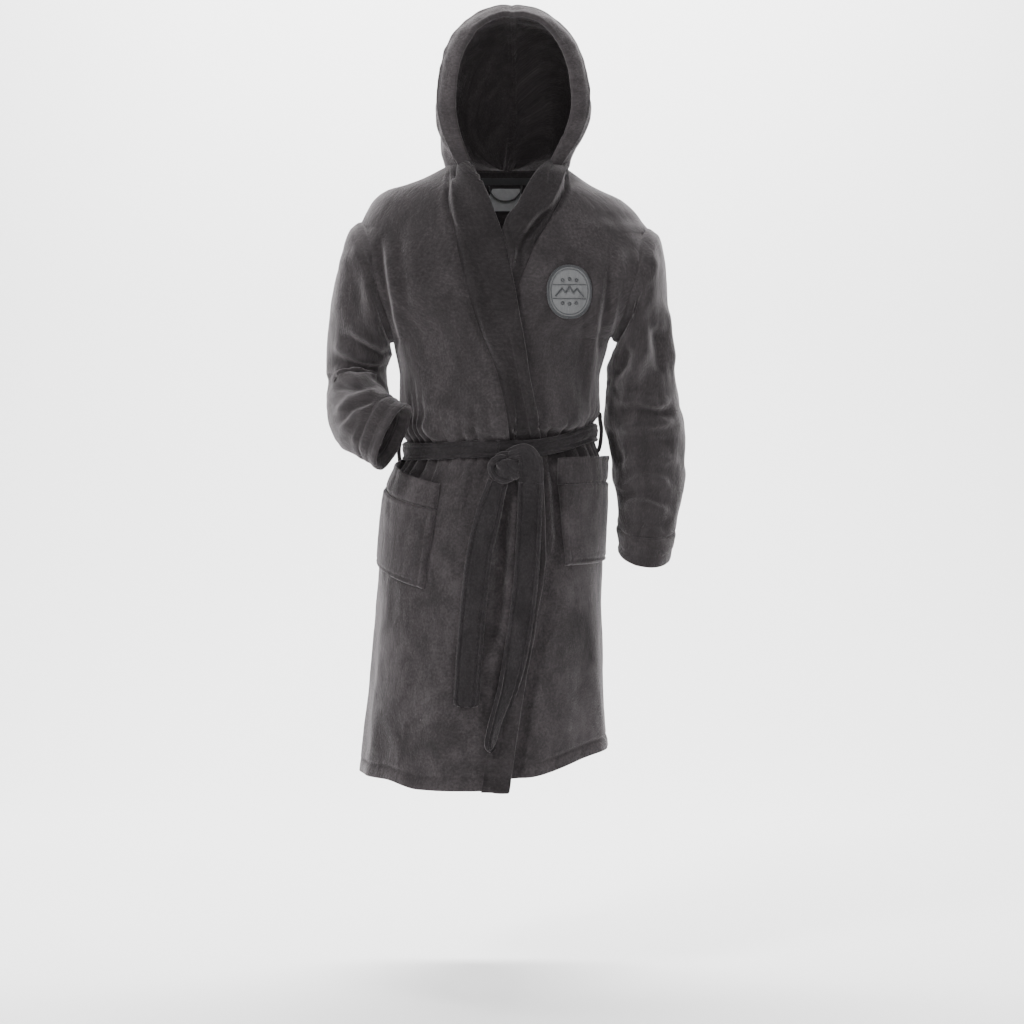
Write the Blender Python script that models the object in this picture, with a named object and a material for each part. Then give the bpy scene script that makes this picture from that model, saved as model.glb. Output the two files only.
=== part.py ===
"""Hooded fleece bathrobe in its worn shape: hood up, belt tied, hollow inside.

Metres. The origin is in the middle of the neck opening, level with the neck seam, +Z is up,
the front faces -Y and the wearer's left is +X. Every cloth piece is a closed shell.
"""
import math

import bpy
import numpy as np

# ---- driving dimensions ----
CLOTH = 0.0040          # cloth thickness
GAP = 0.0006            # clearance between pieces that are sewn together
FORM = 2.4              # roundness of the trunk's cross-section
UNDER = 0.0085          # how far the lower front lies inside the upper one
NECK_SEAM_Z = 0.0040    # the hood starts here and the trunk ends below it
HEM_Z = -1.165
UNDER_HEM_Z = -1.140
WAIST_Z = -0.533
BELT_WIDE = 0.044
BELT_THICK = 0.0060
TAIL_WIDE = 0.050
TAIL_THICK = 0.0050
LOOP_HALF = 0.040       # half the height of a belt loop
LOOP_WIDE = 0.010
LOOP_THICK = 0.0022
POCKET_DEEP = 0.200
POCKET_BAND = 0.050
POCKET_SLACK = 0.0170   # how far a pocket stands off the skirt at its mouth
HOOD_TOP_Z = 0.298
ARM_RING_R = 0.107

# trunk sections: height, half width, half depth, centre x, centre y
TRUNK = [
    (0.000, 0.118, 0.084, 0.003, 0.014),
    (-0.020, 0.160, 0.094, 0.002, 0.010),
    (-0.050, 0.227, 0.108, 0.000, 0.006),
    (-0.085, 0.264, 0.121, 0.000, 0.004),
    (-0.124, 0.284, 0.130, 0.000, 0.003),
    (-0.336, 0.203, 0.140, -0.009, 0.002),
    (-0.420, 0.190, 0.140, -0.010, 0.000),
    (-0.480, 0.191, 0.142, -0.010, -0.002),
    (-0.505, 0.182, 0.132, -0.010, -0.002),
    (-0.508, 0.178, 0.124, -0.010, 0.000),
    (-0.558, 0.178, 0.124, -0.010, 0.000),
    (-0.561, 0.183, 0.132, -0.011, 0.000),
    (-0.620, 0.205, 0.142, -0.018, 0.000),
    (-0.740, 0.214, 0.150, -0.027, 0.000),
    (-0.900, 0.221, 0.156, -0.031, 0.000),
    (-1.050, 0.229, 0.162, -0.035, 0.000),
    (-1.200, 0.237, 0.168, -0.037, 0.000),
]
# height and x of the edges that run down the front
OVER_SEAM = [(0.01, -0.117), (-0.05, -0.113), (-0.149, -0.091), (-0.221, -0.074),
             (-0.320, -0.045), (-0.404, -0.011), (-0.516, 0.011), (-0.740, 0.026),
             (-0.854, 0.010), (-1.036, -0.022), (-1.20, -0.046)]
OVER_EDGE = [(0.01, -0.070), (-0.064, -0.036), (-0.140, -0.008), (-0.221, 0.012),
             (-0.320, 0.030), (-0.404, 0.044), (-0.516, 0.064), (-0.740, 0.073),
             (-0.854, 0.057), (-1.036, 0.025), (-1.20, 0.001)]
UNDER_SEAM = [(0.01, 0.117), (-0.036, 0.114), (-0.104, 0.085), (-0.160, 0.051), (-0.210, 0.030),
              (-0.300, 0.000), (-0.400, -0.030), (-0.520, -0.042), (-1.20, -0.045)]
UNDER_EDGE = [(0.01, 0.083), (-0.015, 0.062), (-0.098, 0.014), (-0.140, -0.010), (-0.210, -0.040),
              (-0.300, -0.066), (-0.400, -0.086), (-0.520, -0.094), (-1.20, -0.095)]
ROWS = [0.000, -0.016, -0.034, -0.054, -0.080, -0.105, -0.126, -0.150, -0.180, -0.215, -0.250, -0.285,
        -0.310, -0.332, -0.370, -0.420, -0.470, -0.500, -0.508, -0.533, -0.558, -0.566, -0.620, -0.700,
        -0.800, -0.920, -1.040, -1.140, HEM_Z]
# armholes: where the ring of each sleeve meets the trunk, as (x, z) of its top and bottom
RING_TOP = (0.280, -0.126)
RING_BOTTOM = (0.208, -0.330)


def clear_scene():
    for thing in list(bpy.data.objects):
        bpy.data.objects.remove(thing, do_unlink=True)


def along(table, z):
    """The value at height z of a table that runs downwards."""
    heights = [-row[0] for row in table]
    return float(np.interp(-z, heights, [row[1] for row in table]))


def section(z):
    heights = [-row[0] for row in TRUNK]
    return [float(np.interp(-z, heights, [row[k] for row in TRUNK])) for k in (1, 2, 3, 4)]


def armhole_x(z):
    """How far out the trunk reaches at this height beside an armhole, or None."""
    top, low = RING_TOP[1], RING_BOTTOM[1]
    if not low < z < top:
        return None
    share = (top - z) / (top - low)
    return RING_TOP[0] + share * (RING_BOTTOM[0] - RING_TOP[0])


def armhole_half(z):
    """Half the armhole's depth in y at this height."""
    top, low = RING_TOP[1], RING_BOTTOM[1]
    mid, half = (top + low) / 2, (top - low) / 2
    return ARM_RING_R * math.sqrt(max(0.0, 1 - ((z - mid) / half) ** 2))


def trunk_point(angle, z, out=0.0):
    """A point on the trunk: angle 0 is the front, a quarter turn is the wearer's left."""
    a, b, cx, cy = section(z)
    reach = armhole_x(z)
    if reach is not None:
        y = min(armhole_half(z) / b, 0.95)
        a = (reach - 0.001) / (1 - y**FORM) ** (1 / FORM)
        cx = 0.0
    s, c = math.sin(angle), math.cos(angle)
    x = cx + (a + out) * math.copysign(abs(s) ** (2 / FORM), s)
    y = cy - (b + out) * math.copysign(abs(c) ** (2 / FORM), c)
    return (x, y, z)


def angle_at(x, z):
    """The angle on the front where the trunk's x is this."""
    a, b, cx, cy = section(z)
    reach = armhole_x(z)
    if reach is not None:
        y = min(armhole_half(z) / b, 0.95)
        a = (reach - 0.001) / (1 - y**FORM) ** (1 / FORM)
        cx = 0.0
    share = min(abs(x - cx) / a, 1.0)
    return math.copysign(math.asin(share ** (FORM / 2)), x - cx)


def side_angle(z, side, back):
    """The angle where a front or the back ends at the wearer's left (1) or right (-1)."""
    reach = armhole_x(z)
    if reach is None:
        angle = math.pi / 2
    else:
        angle = abs(angle_at(side * (reach - 0.003), z)) - 0.004
    if back:
        angle = math.pi - angle
    return side * angle


def volume_of(points, faces):
    points = np.array(points, float)
    total = 0.0
    for face in faces:
        for k in range(1, len(face) - 1):
            a, b, c = points[face[0]], points[face[k]], points[face[k + 1]]
            total += float(np.dot(a, np.cross(b, c)))
    return total


def mesh_object(name, points, faces):
    """A mesh whose faces all point outwards."""
    if volume_of(points, faces) < 0:
        faces = [tuple(face[::-1]) for face in faces]
    mesh = bpy.data.meshes.new(name)
    mesh.from_pydata([tuple(p) for p in points], [], faces)
    mesh.update()
    thing = bpy.data.objects.new(name, mesh)
    bpy.context.scene.collection.objects.link(thing)
    return thing


def grid_normals(grid, wrap, hub):
    """Unit normals of a grid of points, turned away from the point hub."""
    if wrap:
        du = np.roll(grid, -1, 1) - np.roll(grid, 1, 1)
    else:
        du = np.gradient(grid, axis=1)
    dv = np.gradient(grid, axis=0)
    n = np.cross(du, dv)
    if np.sum(n * (grid - np.array(hub))) < 0:
        n = -n
    return n / np.maximum(np.linalg.norm(n, axis=2, keepdims=True), 1e-12)


def shell(name, grid, thick=CLOTH, wrap=False, hub=None):
    """A closed shell whose outer face is a grid of points [row][column], with its hollow side to hub."""
    grid = np.array(grid, float)
    rows, cols = grid.shape[:2]
    if hub is None and wrap:
        hub = grid.reshape(-1, 3).mean(0)
    elif hub is None:
        hub = (-0.01, 0.01, float(grid[:, :, 2].mean()))
    inner = grid - grid_normals(grid, wrap, hub) * thick
    points = np.vstack([grid.reshape(-1, 3), inner.reshape(-1, 3)])
    half = rows * cols
    faces = []
    steps = cols if wrap else cols - 1
    for r in range(rows - 1):
        for c in range(steps):
            d = (c + 1) % cols
            a, b = r * cols + c, r * cols + d
            e, f = (r + 1) * cols + c, (r + 1) * cols + d
            faces.append((a, b, f, e))
            faces.append((half + a, half + e, half + f, half + b))
    for c in range(steps):
        d = (c + 1) % cols
        faces.append((c, half + c, half + d, d))
        low = (rows - 1) * cols
        faces.append((low + c, low + d, half + low + d, half + low + c))
    if not wrap:
        for r in range(rows - 1):
            a, e = r * cols, (r + 1) * cols
            faces.append((a, e, half + e, half + a))
            b, f = a + cols - 1, e + cols - 1
            faces.append((b, half + b, half + f, f))
    return mesh_object(name, points, faces)


def nudged(table, shift):
    return lambda z: along(table, z) + shift


def lean_in(x, z):
    """How far the lower front lies inside the trunk's surface at this x."""
    edge = along(OVER_EDGE, z)
    share = min(max((edge + 0.055 - x) / 0.035, 0.0), 1.0)
    return UNDER * share * share * (3 - 2 * share)


def front_grid(start, end, rows, cols, under=False, out=0.0):
    """A grid on the trunk's front between two angles that change with height."""
    grid = []
    for z in rows:
        line = []
        for k in range(cols):
            angle = start(z) + (end(z) - start(z)) * k / (cols - 1)
            x = trunk_point(angle, z)[0]
            drop = lean_in(x, z) if under else 0.0
            line.append(trunk_point(angle, z, out - drop))
        grid.append(line)
    return grid


def shifted(grid, dy):
    return [[(x, y + dy, z) for x, y, z in line] for line in grid]


# ---- trunk ----
def build_back():
    grid = []
    for z in ROWS:
        left, right = side_angle(z, 1, True), side_angle(z, -1, True) + 2 * math.pi
        grid.append([trunk_point(left + (right - left) * k / 20, z) for k in range(21)])
    shell("back_panel", shifted(grid, GAP))


def build_over_front():
    seam = nudged(OVER_SEAM, -GAP)
    grid = front_grid(lambda z: side_angle(z, -1, False), lambda z: angle_at(seam(z), z), ROWS, 10)
    shell("right_front_panel", shifted(grid, -GAP))
    rows = ROWS[:-1] + [HEM_Z - 0.002]
    grid = front_grid(
        lambda z: angle_at(along(OVER_SEAM, z), z), lambda z: angle_at(along(OVER_EDGE, z), z), rows, 5)
    shell("right_front_band", shifted(grid, -GAP), CLOTH * 1.3)


def build_under_front():
    rows = [z for z in ROWS if z > UNDER_HEM_Z] + [UNDER_HEM_Z]
    seam = nudged(UNDER_SEAM, 2.5 * GAP)
    grid = front_grid(
        lambda z: angle_at(seam(z), z), lambda z: side_angle(z, 1, False), rows, 13, under=True)
    shell("left_front_panel", shifted(grid, -GAP))
    grid = front_grid(
        lambda z: angle_at(along(UNDER_EDGE, z), z), lambda z: angle_at(along(UNDER_SEAM, z), z),
        rows, 5, under=True)
    shell("left_front_band", shifted(grid, -GAP))


# ---- hood ----
def hood_section(z):
    """Half width, y of the face opening, y of the back, and half opening at this height."""
    share = (z - NECK_SEAM_Z) / (HOOD_TOP_Z - NECK_SEAM_Z)
    top = max(0.0, (share - 0.40) / 0.60)
    half = 0.118 + 0.032 * math.sin(min(share / 0.40, 1.0) * math.pi / 2)
    half *= math.sqrt(max(0.0, 1 - top**2.3))
    face = -0.072 - 0.058 * math.sin(min(share / 0.55, 1.0) * math.pi / 2)
    back = 0.098 + 0.034 * math.sin(min(share / 0.5, 1.0) * math.pi / 2) - 0.095 * top**2.2
    opening = 0.080 + 0.026 * math.sin(min(share / 0.45, 1.0) * math.pi / 2)
    opening *= math.sqrt(max(0.0, 1 - top**2.6))
    return half, face, back, opening


def hood_centre(z):
    return 0.003 + 0.013 * min(max(z / 0.12, 0.0), 1.0)


def hood_point(z, share, side):
    """A point on one half of the hood: share 0 is the face edge and 1 the centre seam."""
    half, face, back, opening = hood_section(z)
    turn = share * math.pi
    mid = (face + back) / 2 + 0.012
    if share < 0.5:
        x = opening + (half - opening) * math.sin(turn) ** 0.9
        y = mid + (face - mid) * math.cos(turn)
    else:
        x = half * math.sin(turn) ** 0.8
        y = mid + (mid - back) * math.cos(turn)
    part = GAP + 0.003 * max(0.0, z / HOOD_TOP_Z - 0.8) * 5
    return (hood_centre(z) + side * (max(x, 0.002) + part), y, z)


HOOD_HUB = (0.016, 0.010, 0.140)
HOOD_ROWS = [0.0, 0.08, 0.18, 0.30, 0.42, 0.54, 0.66, 0.76, 0.84, 0.90, 0.945, 0.975, 0.992, 1.0]


def build_hood():
    heights = [NECK_SEAM_Z + s * (HOOD_TOP_Z - NECK_SEAM_Z) for s in reversed(HOOD_ROWS)]
    shares = [0.134 + 0.866 * k / 10 for k in range(11)]
    for side, name in ((-1, "hood_right_panel"), (1, "hood_left_panel")):
        grid = [[hood_point(z, s, side) for s in shares] for z in heights]
        shell(name, grid, hub=HOOD_HUB)


def build_hood_band():
    """The doubled edge round the face opening, from one side of the neck over the top to the other."""
    ring = []
    low = NECK_SEAM_Z
    for s in HOOD_ROWS:
        z = low + s * (HOOD_TOP_Z - low)
        ring.append((-1, z))
    path = ring + [(1, z) for _, z in reversed(ring)]
    grid = []
    for side, z in path:
        line = []
        for k in range(4):
            x, y, height = hood_point(z, 0.112 * k / 3, side)
            line.append((x, y, height))
        grid.append(line)
    shell("hood_edge_band", grid, hub=HOOD_HUB)


# ---- sleeves ----
def ring_points(centre, up, ahead, half_up, half_ahead, count=16):
    return [
        tuple(centre + up * half_up * math.cos(t) + ahead * half_ahead * math.sin(t))
        for t in (2 * math.pi * k / count for k in range(count))
    ]


def unit(v):
    v = np.array(v, float)
    return v / np.linalg.norm(v)


def tube_grid(stations):
    """Rings from (outer point, inner point, half size across) with the third axis between them."""
    grid = []
    for outer, inner, half, ahead in stations:
        outer, inner = np.array(outer, float), np.array(inner, float)
        centre, reach = (outer + inner) / 2, (outer - inner) / 2
        size = np.linalg.norm(reach)
        grid.append(ring_points(centre, reach / size, unit(ahead), size, half))
    return grid


# stations down each sleeve: outer point, inner point, half size from front to back, forward direction
LEFT_UPPER = [
    ((0.2858, 0.0, -0.1284), (0.2141, 0.0, -0.3314), 0.105, (0, -1, 0)),
    ((0.3060, 0.0, -0.190), (0.2080, 0.0, -0.352), 0.100, (0, -1, 0)),
    ((0.3180, 0.004, -0.270), (0.2000, 0.004, -0.378), 0.092, (0, -1, 0)),
    ((0.3270, 0.010, -0.350), (0.1970, 0.010, -0.410), 0.086, (0, -1, -0.05)),
    ((0.3400, 0.018, -0.446), (0.1970, 0.018, -0.446), 0.082, (0, -1, -0.1)),
]
LEFT_FORE = [
    ((0.3400, 0.018, -0.4478), (0.1970, 0.018, -0.4478), 0.082, (0, -1, -0.1)),
    ((0.3440, 0.022, -0.4880), (0.1965, 0.022, -0.4880), 0.081, (0, -1, -0.18)),
    ((0.3470, 0.024, -0.540), (0.1960, 0.020, -0.545), 0.078, (0, -1, -0.25)),
    ((0.3410, 0.004, -0.620), (0.2080, 0.000, -0.620), 0.073, (0, -1, -0.3)),
    ((0.3280, -0.022, -0.690), (0.2160, -0.024, -0.684), 0.069, (0, -1, -0.3)),
]
LEFT_CUFF = [
    ((0.3280, -0.0225, -0.6908), (0.2160, -0.0245, -0.6848), 0.069, (0, -1, -0.3)),
    ((0.3160, -0.036, -0.742), (0.2190, -0.038, -0.732), 0.067, (0, -1, -0.3)),
]
RIGHT_UPPER = [
    ((-0.2858, 0.0, -0.1284), (-0.2141, 0.0, -0.3314), 0.105, (0, -1, 0)),
    ((-0.3080, 0.004, -0.190), (-0.2200, 0.004, -0.346), 0.100, (0, -1, 0)),
    ((-0.3300, 0.014, -0.270), (-0.2260, 0.018, -0.366), 0.094, (0, -1, 0)),
    ((-0.3435, 0.032, -0.3885), (-0.2295, 0.032, -0.3885), 0.086, (0, -1, 0)),
]
CROOK = (-0.2865, -0.054, -0.3900)
RIGHT_TURNS = [(0, 0.086, 0.0570), (25, 0.085, 0.0575), (50, 0.081, 0.0570), (72, 0.076, 0.0560)]
# the forearm's rings past the elbow: centre, way it heads, up, half width, half height
RIGHT_REACH = [
    ((-0.2680, -0.080, -0.482), (0.55, -0.75, -0.37), (0.20, -0.15, 0.95), 0.0515, 0.0705),
    ((-0.2400, -0.112, -0.497), (0.80, -0.50, -0.35), (0.38, 0.0, 0.93), 0.0475, 0.0670),
]
RIGHT_END = ((-0.2136, -0.128, -0.512), (0.85, -0.35, -0.40), (0.40, 0.0, 0.915), 0.0450, 0.0650)


def ring_station(centre, heading, up, wide, half, slide=0.0):
    """A station square to the heading, moved along it by slide."""
    d = unit(heading)
    up = unit(np.array(up) - d * np.dot(up, d))
    right = np.cross(d, up)
    c = np.array(centre) + d * slide
    return (tuple(c + right * wide), tuple(c - right * wide), half, tuple(up))


def right_forearm_stations():
    """Rings that fan out round the crook of the elbow and then turn in to the wrist."""
    stations = []
    for degrees, half, wide in RIGHT_TURNS:
        t = math.radians(degrees)
        ahead = (0.0, -math.cos(t), math.sin(t))
        mid = [CROOK[k] - ahead[k] * half for k in range(3)]
        stations.append(((mid[0] - wide, mid[1], mid[2]), (mid[0] + wide, mid[1], mid[2]), half, ahead))
    return stations + [ring_station(*ring) for ring in RIGHT_REACH]


def right_cuff_stations():
    return [ring_station(*RIGHT_REACH[-1], slide=0.0024), ring_station(*RIGHT_END)]


def build_sleeves():
    for name, stations in (
        ("left_sleeve_upper", LEFT_UPPER),
        ("left_sleeve_forearm", LEFT_FORE),
        ("left_cuff", LEFT_CUFF),
        ("right_sleeve_upper", RIGHT_UPPER),
        ("right_sleeve_forearm", right_forearm_stations()),
        ("right_cuff", right_cuff_stations()),
    ):
        shell(name, tube_grid(stations), wrap=True)


# ---- pockets ----
def build_pocket(name, band_name, top_z, inner_top, inner_low, outer_share):
    side = 1 if inner_top > 0 else -1
    cut = top_z - POCKET_BAND
    low = top_z - POCKET_DEEP

    def inner(z):
        return inner_top + (inner_low - inner_top) * (top_z - z) / POCKET_DEEP

    def outer(z):
        return side * math.pi / 2 * outer_share

    for piece, high, end, count in ((band_name, top_z, cut + 3 * GAP, 3), (name, cut, low, 5)):
        grid = []
        for r in range(count):
            z = high + (end - high) * r / (count - 1)
            first, last = outer(z), angle_at(inner(z), z)
            fall = (z - low) / POCKET_DEEP
            line = []
            for k in range(9):
                slack = POCKET_SLACK * math.sin(math.pi * k / 8) ** 0.7 * (0.25 + 0.75 * fall)
                line.append(trunk_point(first + (last - first) * k / 8, z, 0.0058 + slack))
            grid.append(line)
        shell(piece, shifted(grid, -0.001))


# ---- belt ----
def build_belt():
    grid = []
    for z in (WAIST_Z + BELT_WIDE / 2, WAIST_Z, WAIST_Z - BELT_WIDE / 2):
        out = BELT_THICK + GAP + 0.0008
        grid.append([trunk_point(2 * math.pi * k / 40, z, out) for k in range(40)])
    shell("belt_waist", grid, BELT_THICK, wrap=True)


def blob(name, centre, size, rows=8, cols=12):
    """A closed rounded lump, wider than deep."""
    points = [(centre[0], centre[1], centre[2] + size[2])]
    faces = []
    for r in range(1, rows):
        lat = math.pi * r / rows
        for c in range(cols):
            lon = 2 * math.pi * c / cols
            s = abs(math.sin(lat)) ** 0.75
            points.append((
                centre[0] + size[0] * s * math.cos(lon), centre[1] + size[1] * s * math.sin(lon),
                centre[2] + size[2] * math.cos(lat)))
    points.append((centre[0], centre[1], centre[2] - size[2]))
    last = len(points) - 1
    for c in range(cols):
        d = (c + 1) % cols
        faces.append((0, 1 + c, 1 + d))
        for r in range(rows - 2):
            a, b = 1 + r * cols, 1 + (r + 1) * cols
            faces.append((a + c, b + c, b + d, a + d))
        faces.append((last, last - cols + d, last - cols + c))
    return mesh_object(name, points, faces)


def strip(name, path, wide, thick):
    """A flat strip along a path of (x, y, z), its width along x."""
    path = [np.array(p, float) for p in path]
    grid = [[p + np.array([wide * (k / 4 - 0.5), 0.0, 0.0]) for k in range(5)] for p in path]
    return shell(name, grid, thick, hub=path[0] + np.array([0.0, 1.0, 0.0]))


def skirt_front_y(x, z, out):
    angle = angle_at(x, z)
    return trunk_point(angle, z, out)[1]


KNOT = (0.018, -0.1575, -0.565)
TAIL_START_Z = -0.598
TAIL_LEFT = [(0.048, TAIL_START_Z), (0.0465, -0.660), (0.0425, -0.747), (0.032, -0.850), (0.010, -0.973),
             (-0.032, -1.110)]
TAIL_RIGHT = [(-0.010, TAIL_START_Z), (-0.026, -0.650), (-0.050, -0.747), (-0.060, -0.850), (-0.066, -0.930),
              (-0.0715, -1.015)]


def build_belt_ends():
    blob("belt_knot", KNOT, (0.027, 0.0215, 0.029))
    blob("belt_knot_loop", (KNOT[0] - 0.040, KNOT[1] + 0.002, KNOT[2] + 0.001), (0.0125, 0.016, 0.024), 6, 10)
    for name, route in (("belt_tail_left", TAIL_LEFT), ("belt_tail_right", TAIL_RIGHT)):
        zs = [TAIL_START_Z + (route[-1][1] - TAIL_START_Z) * k / 12 for k in range(13)]
        path = []
        for z in zs:
            x = along([(b, a) for a, b in route], z)
            front = min(skirt_front_y(x + d, z, 0.0) for d in (-0.025, 0.0, 0.025))
            path.append((x, min(front - 0.013, -0.160), z))
        strip(name, path, TAIL_WIDE, TAIL_THICK)


def build_belt_loops():
    for side, name in ((-1, "right_belt_loop"), (1, "left_belt_loop")):
        grid = []
        for k in range(9):
            z = WAIST_Z + LOOP_HALF * (1 - k / 4)
            reach = max(trunk_point(math.pi / 2, z, 0.0)[0] - section(z)[2], section(WAIST_Z)[0] + 0.0072)
            x = section(z)[2] + side * (reach + LOOP_THICK + GAP)
            grid.append([(x, LOOP_WIDE * (j / 2 - 0.5), z) for j in range(3)])
        shell(name, grid, LOOP_THICK, hub=(0.0, 0.0, WAIST_Z))


# ---- small pieces behind the neck ----
def build_neck_trim():
    def inside(angle, z, depth):
        return trunk_point(angle, z, -depth)

    turn = [math.pi * (0.72 + 0.56 * k / 8) for k in range(9)]
    rows = (-0.006, -0.012, -0.018)
    shell("neck_tape", [[inside(a, z, CLOTH + 0.0030) for a in turn] for z in rows], 0.0012)
    turn = [math.pi * (0.93 + 0.14 * k / 4) for k in range(5)]
    rows = (-0.026, -0.040, -0.054, -0.068)
    shell("neck_label", [[inside(a, z, CLOTH + 0.0050) for a in turn] for z in rows], 0.0008)
    ring = []
    for k in range(13):
        t = math.pi * k / 12
        ring.append((0.032 * math.cos(t), -0.021 - 0.030 * math.sin(t)))
    y = inside(math.pi, -0.020, CLOTH + 0.0110)[1]
    grid = [[(x, y - 0.002 + j * 0.002, z) for j in range(3)] for x, z in ring]
    shell("hanging_loop", grid, 0.0030, hub=(0.0, y, -0.021))


# ---- chest badge ----
BADGE = (0.120, -0.242)


def badge_grid(half_x, half_z, out, rings=4, count=20):
    grid = []
    for r in range(rings + 1):
        share = max(r / rings, 0.02)
        line = []
        for k in range(count):
            t = 2 * math.pi * k / count
            x, z = BADGE[0] + half_x * share * math.sin(t), BADGE[1] + half_z * share * math.cos(t)
            base = trunk_point(angle_at(x, z), z, 0.0)
            line.append((x, base[1] - out, z))
        grid.append(line)
    return grid


def disc(name, grid, thick):
    """A closed patch from rings of points, the first ring being its middle."""
    rings, count = len(grid), len(grid[0])
    centre = tuple(np.mean(np.array(grid[0]), axis=0))
    front = [centre] + [p for line in grid[1:] for p in line]
    size = len(front)
    points = front + [(x, y + thick, z) for x, y, z in front]
    faces = []
    for k in range(count):
        d = (k + 1) % count
        faces.append((0, 1 + k, 1 + d))
        faces.append((size, size + 1 + d, size + 1 + k))
        for r in range(rings - 2):
            a, b = 1 + r * count, 1 + (r + 1) * count
            faces.append((a + k, b + k, b + d, a + d))
            faces.append((size + a + k, size + a + d, size + b + d, size + b + k))
        low = 1 + (rings - 2) * count
        faces.append((low + k, size + low + k, size + low + d, low + d))
    return mesh_object(name, points, faces)


def build_badge():
    disc("badge_backing", badge_grid(0.042, 0.050, 0.0034), 0.0018)
    disc("badge_motif", badge_grid(0.024, 0.030, 0.0048), 0.0010)


def main():
    clear_scene()
    build_back()
    build_over_front()
    build_under_front()
    build_hood()
    build_hood_band()
    build_sleeves()
    build_pocket("right_pocket", "right_pocket_band", -0.574, -0.122, -0.150, 0.98)
    build_pocket("left_pocket", "left_pocket_band", -0.566, 0.094, 0.112, 0.98)
    build_belt()
    build_belt_ends()
    build_belt_loops()
    build_neck_trim()
    build_badge()


main()
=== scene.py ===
"""Looks of a hooded fleece bathrobe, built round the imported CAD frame.

Metres, in the row frame: the origin is in the middle of the neck opening, +Z is up, the front faces
-Y and the wearer's left is +X. Each piece of cloth is a closed shell laid out from curves, with its
folds added along its own normals.
"""
import math

import bmesh
import bpy
import numpy as np
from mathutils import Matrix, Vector


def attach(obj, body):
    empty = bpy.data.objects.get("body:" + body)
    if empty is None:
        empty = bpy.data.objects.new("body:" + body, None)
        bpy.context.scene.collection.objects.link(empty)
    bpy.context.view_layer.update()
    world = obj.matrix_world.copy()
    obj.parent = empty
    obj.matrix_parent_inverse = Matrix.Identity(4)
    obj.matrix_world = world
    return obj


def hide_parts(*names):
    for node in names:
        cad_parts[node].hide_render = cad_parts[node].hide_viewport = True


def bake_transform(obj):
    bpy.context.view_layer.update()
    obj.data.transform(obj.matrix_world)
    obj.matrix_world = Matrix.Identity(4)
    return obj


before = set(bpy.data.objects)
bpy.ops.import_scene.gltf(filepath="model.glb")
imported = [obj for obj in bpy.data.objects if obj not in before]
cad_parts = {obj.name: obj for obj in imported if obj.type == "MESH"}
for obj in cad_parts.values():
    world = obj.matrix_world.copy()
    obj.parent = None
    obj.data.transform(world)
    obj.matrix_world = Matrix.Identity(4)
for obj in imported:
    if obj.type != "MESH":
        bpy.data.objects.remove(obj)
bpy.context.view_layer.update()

TAU = 2 * math.pi
CLOTH = 0.0042
SEAM_Z = 0.004


# ------------------------------------------------------------------ curves and noise
def smooth(low, high, x):
    t = np.clip((np.asarray(x, float) - low) / (high - low), 0, 1)
    return t * t * (3 - 2 * t)


def bump(x, mid, wide):
    return np.exp(-(((np.asarray(x, float) - mid) / wide) ** 2))


def curve(points, column=1):
    """A smooth function through (x, y...) rows, with no overshoot. x may run either way."""
    rows = sorted((float(p[0]), float(p[column])) for p in points)
    xs, ys = np.array([r[0] for r in rows]), np.array([r[1] for r in rows])
    h = np.diff(xs)
    d = np.diff(ys) / h
    m = np.zeros_like(xs)
    m[0], m[-1] = d[0], d[-1]
    for k in range(1, len(xs) - 1):
        if d[k - 1] * d[k] > 0:
            w1, w2 = 2 * h[k] + h[k - 1], h[k] + 2 * h[k - 1]
            m[k] = (w1 + w2) / (w1 / d[k - 1] + w2 / d[k])

    def value(x):
        x = np.clip(np.asarray(x, float), xs[0], xs[-1])
        k = np.clip(np.searchsorted(xs, x) - 1, 0, len(h) - 1)
        t = (x - xs[k]) / h[k]
        a = ys[k] * (1 + 2 * t) * (1 - t) ** 2 + ys[k + 1] * t * t * (3 - 2 * t)
        return a + h[k] * (m[k] * t * (1 - t) ** 2 - m[k + 1] * t * t * (1 - t))

    return value


def noise(x, y, seed):
    """Smooth noise from -1 to 1 with a period of about one unit."""
    table = np.random.RandomState(seed).uniform(-1, 1, (97, 89))
    x, y = np.broadcast_arrays(np.asarray(x, float) + 40, np.asarray(y, float) + 40)
    i, j = np.floor(x).astype(int), np.floor(y).astype(int)
    u, v = x - i, y - j
    u, v = u**3 * (u * (6 * u - 15) + 10), v**3 * (v * (6 * v - 15) + 10)
    a, b = table[i % 97, j % 89], table[(i + 1) % 97, j % 89]
    c, d = table[i % 97, (j + 1) % 89], table[(i + 1) % 97, (j + 1) % 89]
    return (a * (1 - u) + b * u) * (1 - v) + (c * (1 - u) + d * u) * v


def layered(x, y, seed, octaves=3):
    total, size = 0.0, 1.0
    for k in range(octaves):
        total = total + noise(x * 2**k, y * 2**k, seed + k) * size
        size *= 0.5
    return total


def ridge(x, z, points, high, wide, ends=0.25):
    """A fold along a line of (x, z) points: high outwards, or inwards where negative."""
    x, z = np.asarray(x, float), np.asarray(z, float)
    points = np.array(points, float)
    lengths = np.linalg.norm(np.diff(points, axis=0), axis=1)
    total, best, where = lengths.sum(), np.full(x.shape, 1e9), np.zeros(x.shape)
    run = 0.0
    for a, b, length in zip(points[:-1], points[1:], lengths):
        dx, dz = (b - a) / length
        t = np.clip((x - a[0]) * dx + (z - a[1]) * dz, 0, length)
        off = np.hypot(x - a[0] - t * dx, z - a[1] - t * dz)
        near = off < best
        best = np.where(near, off, best)
        where = np.where(near, (run + t) / total, where)
        run += length
    taper = np.clip(np.minimum(where, 1 - where) / ends, 0, 1)
    taper = taper * taper * (3 - 2 * taper)
    return high * taper * np.exp(-((best / wide) ** 2))


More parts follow.
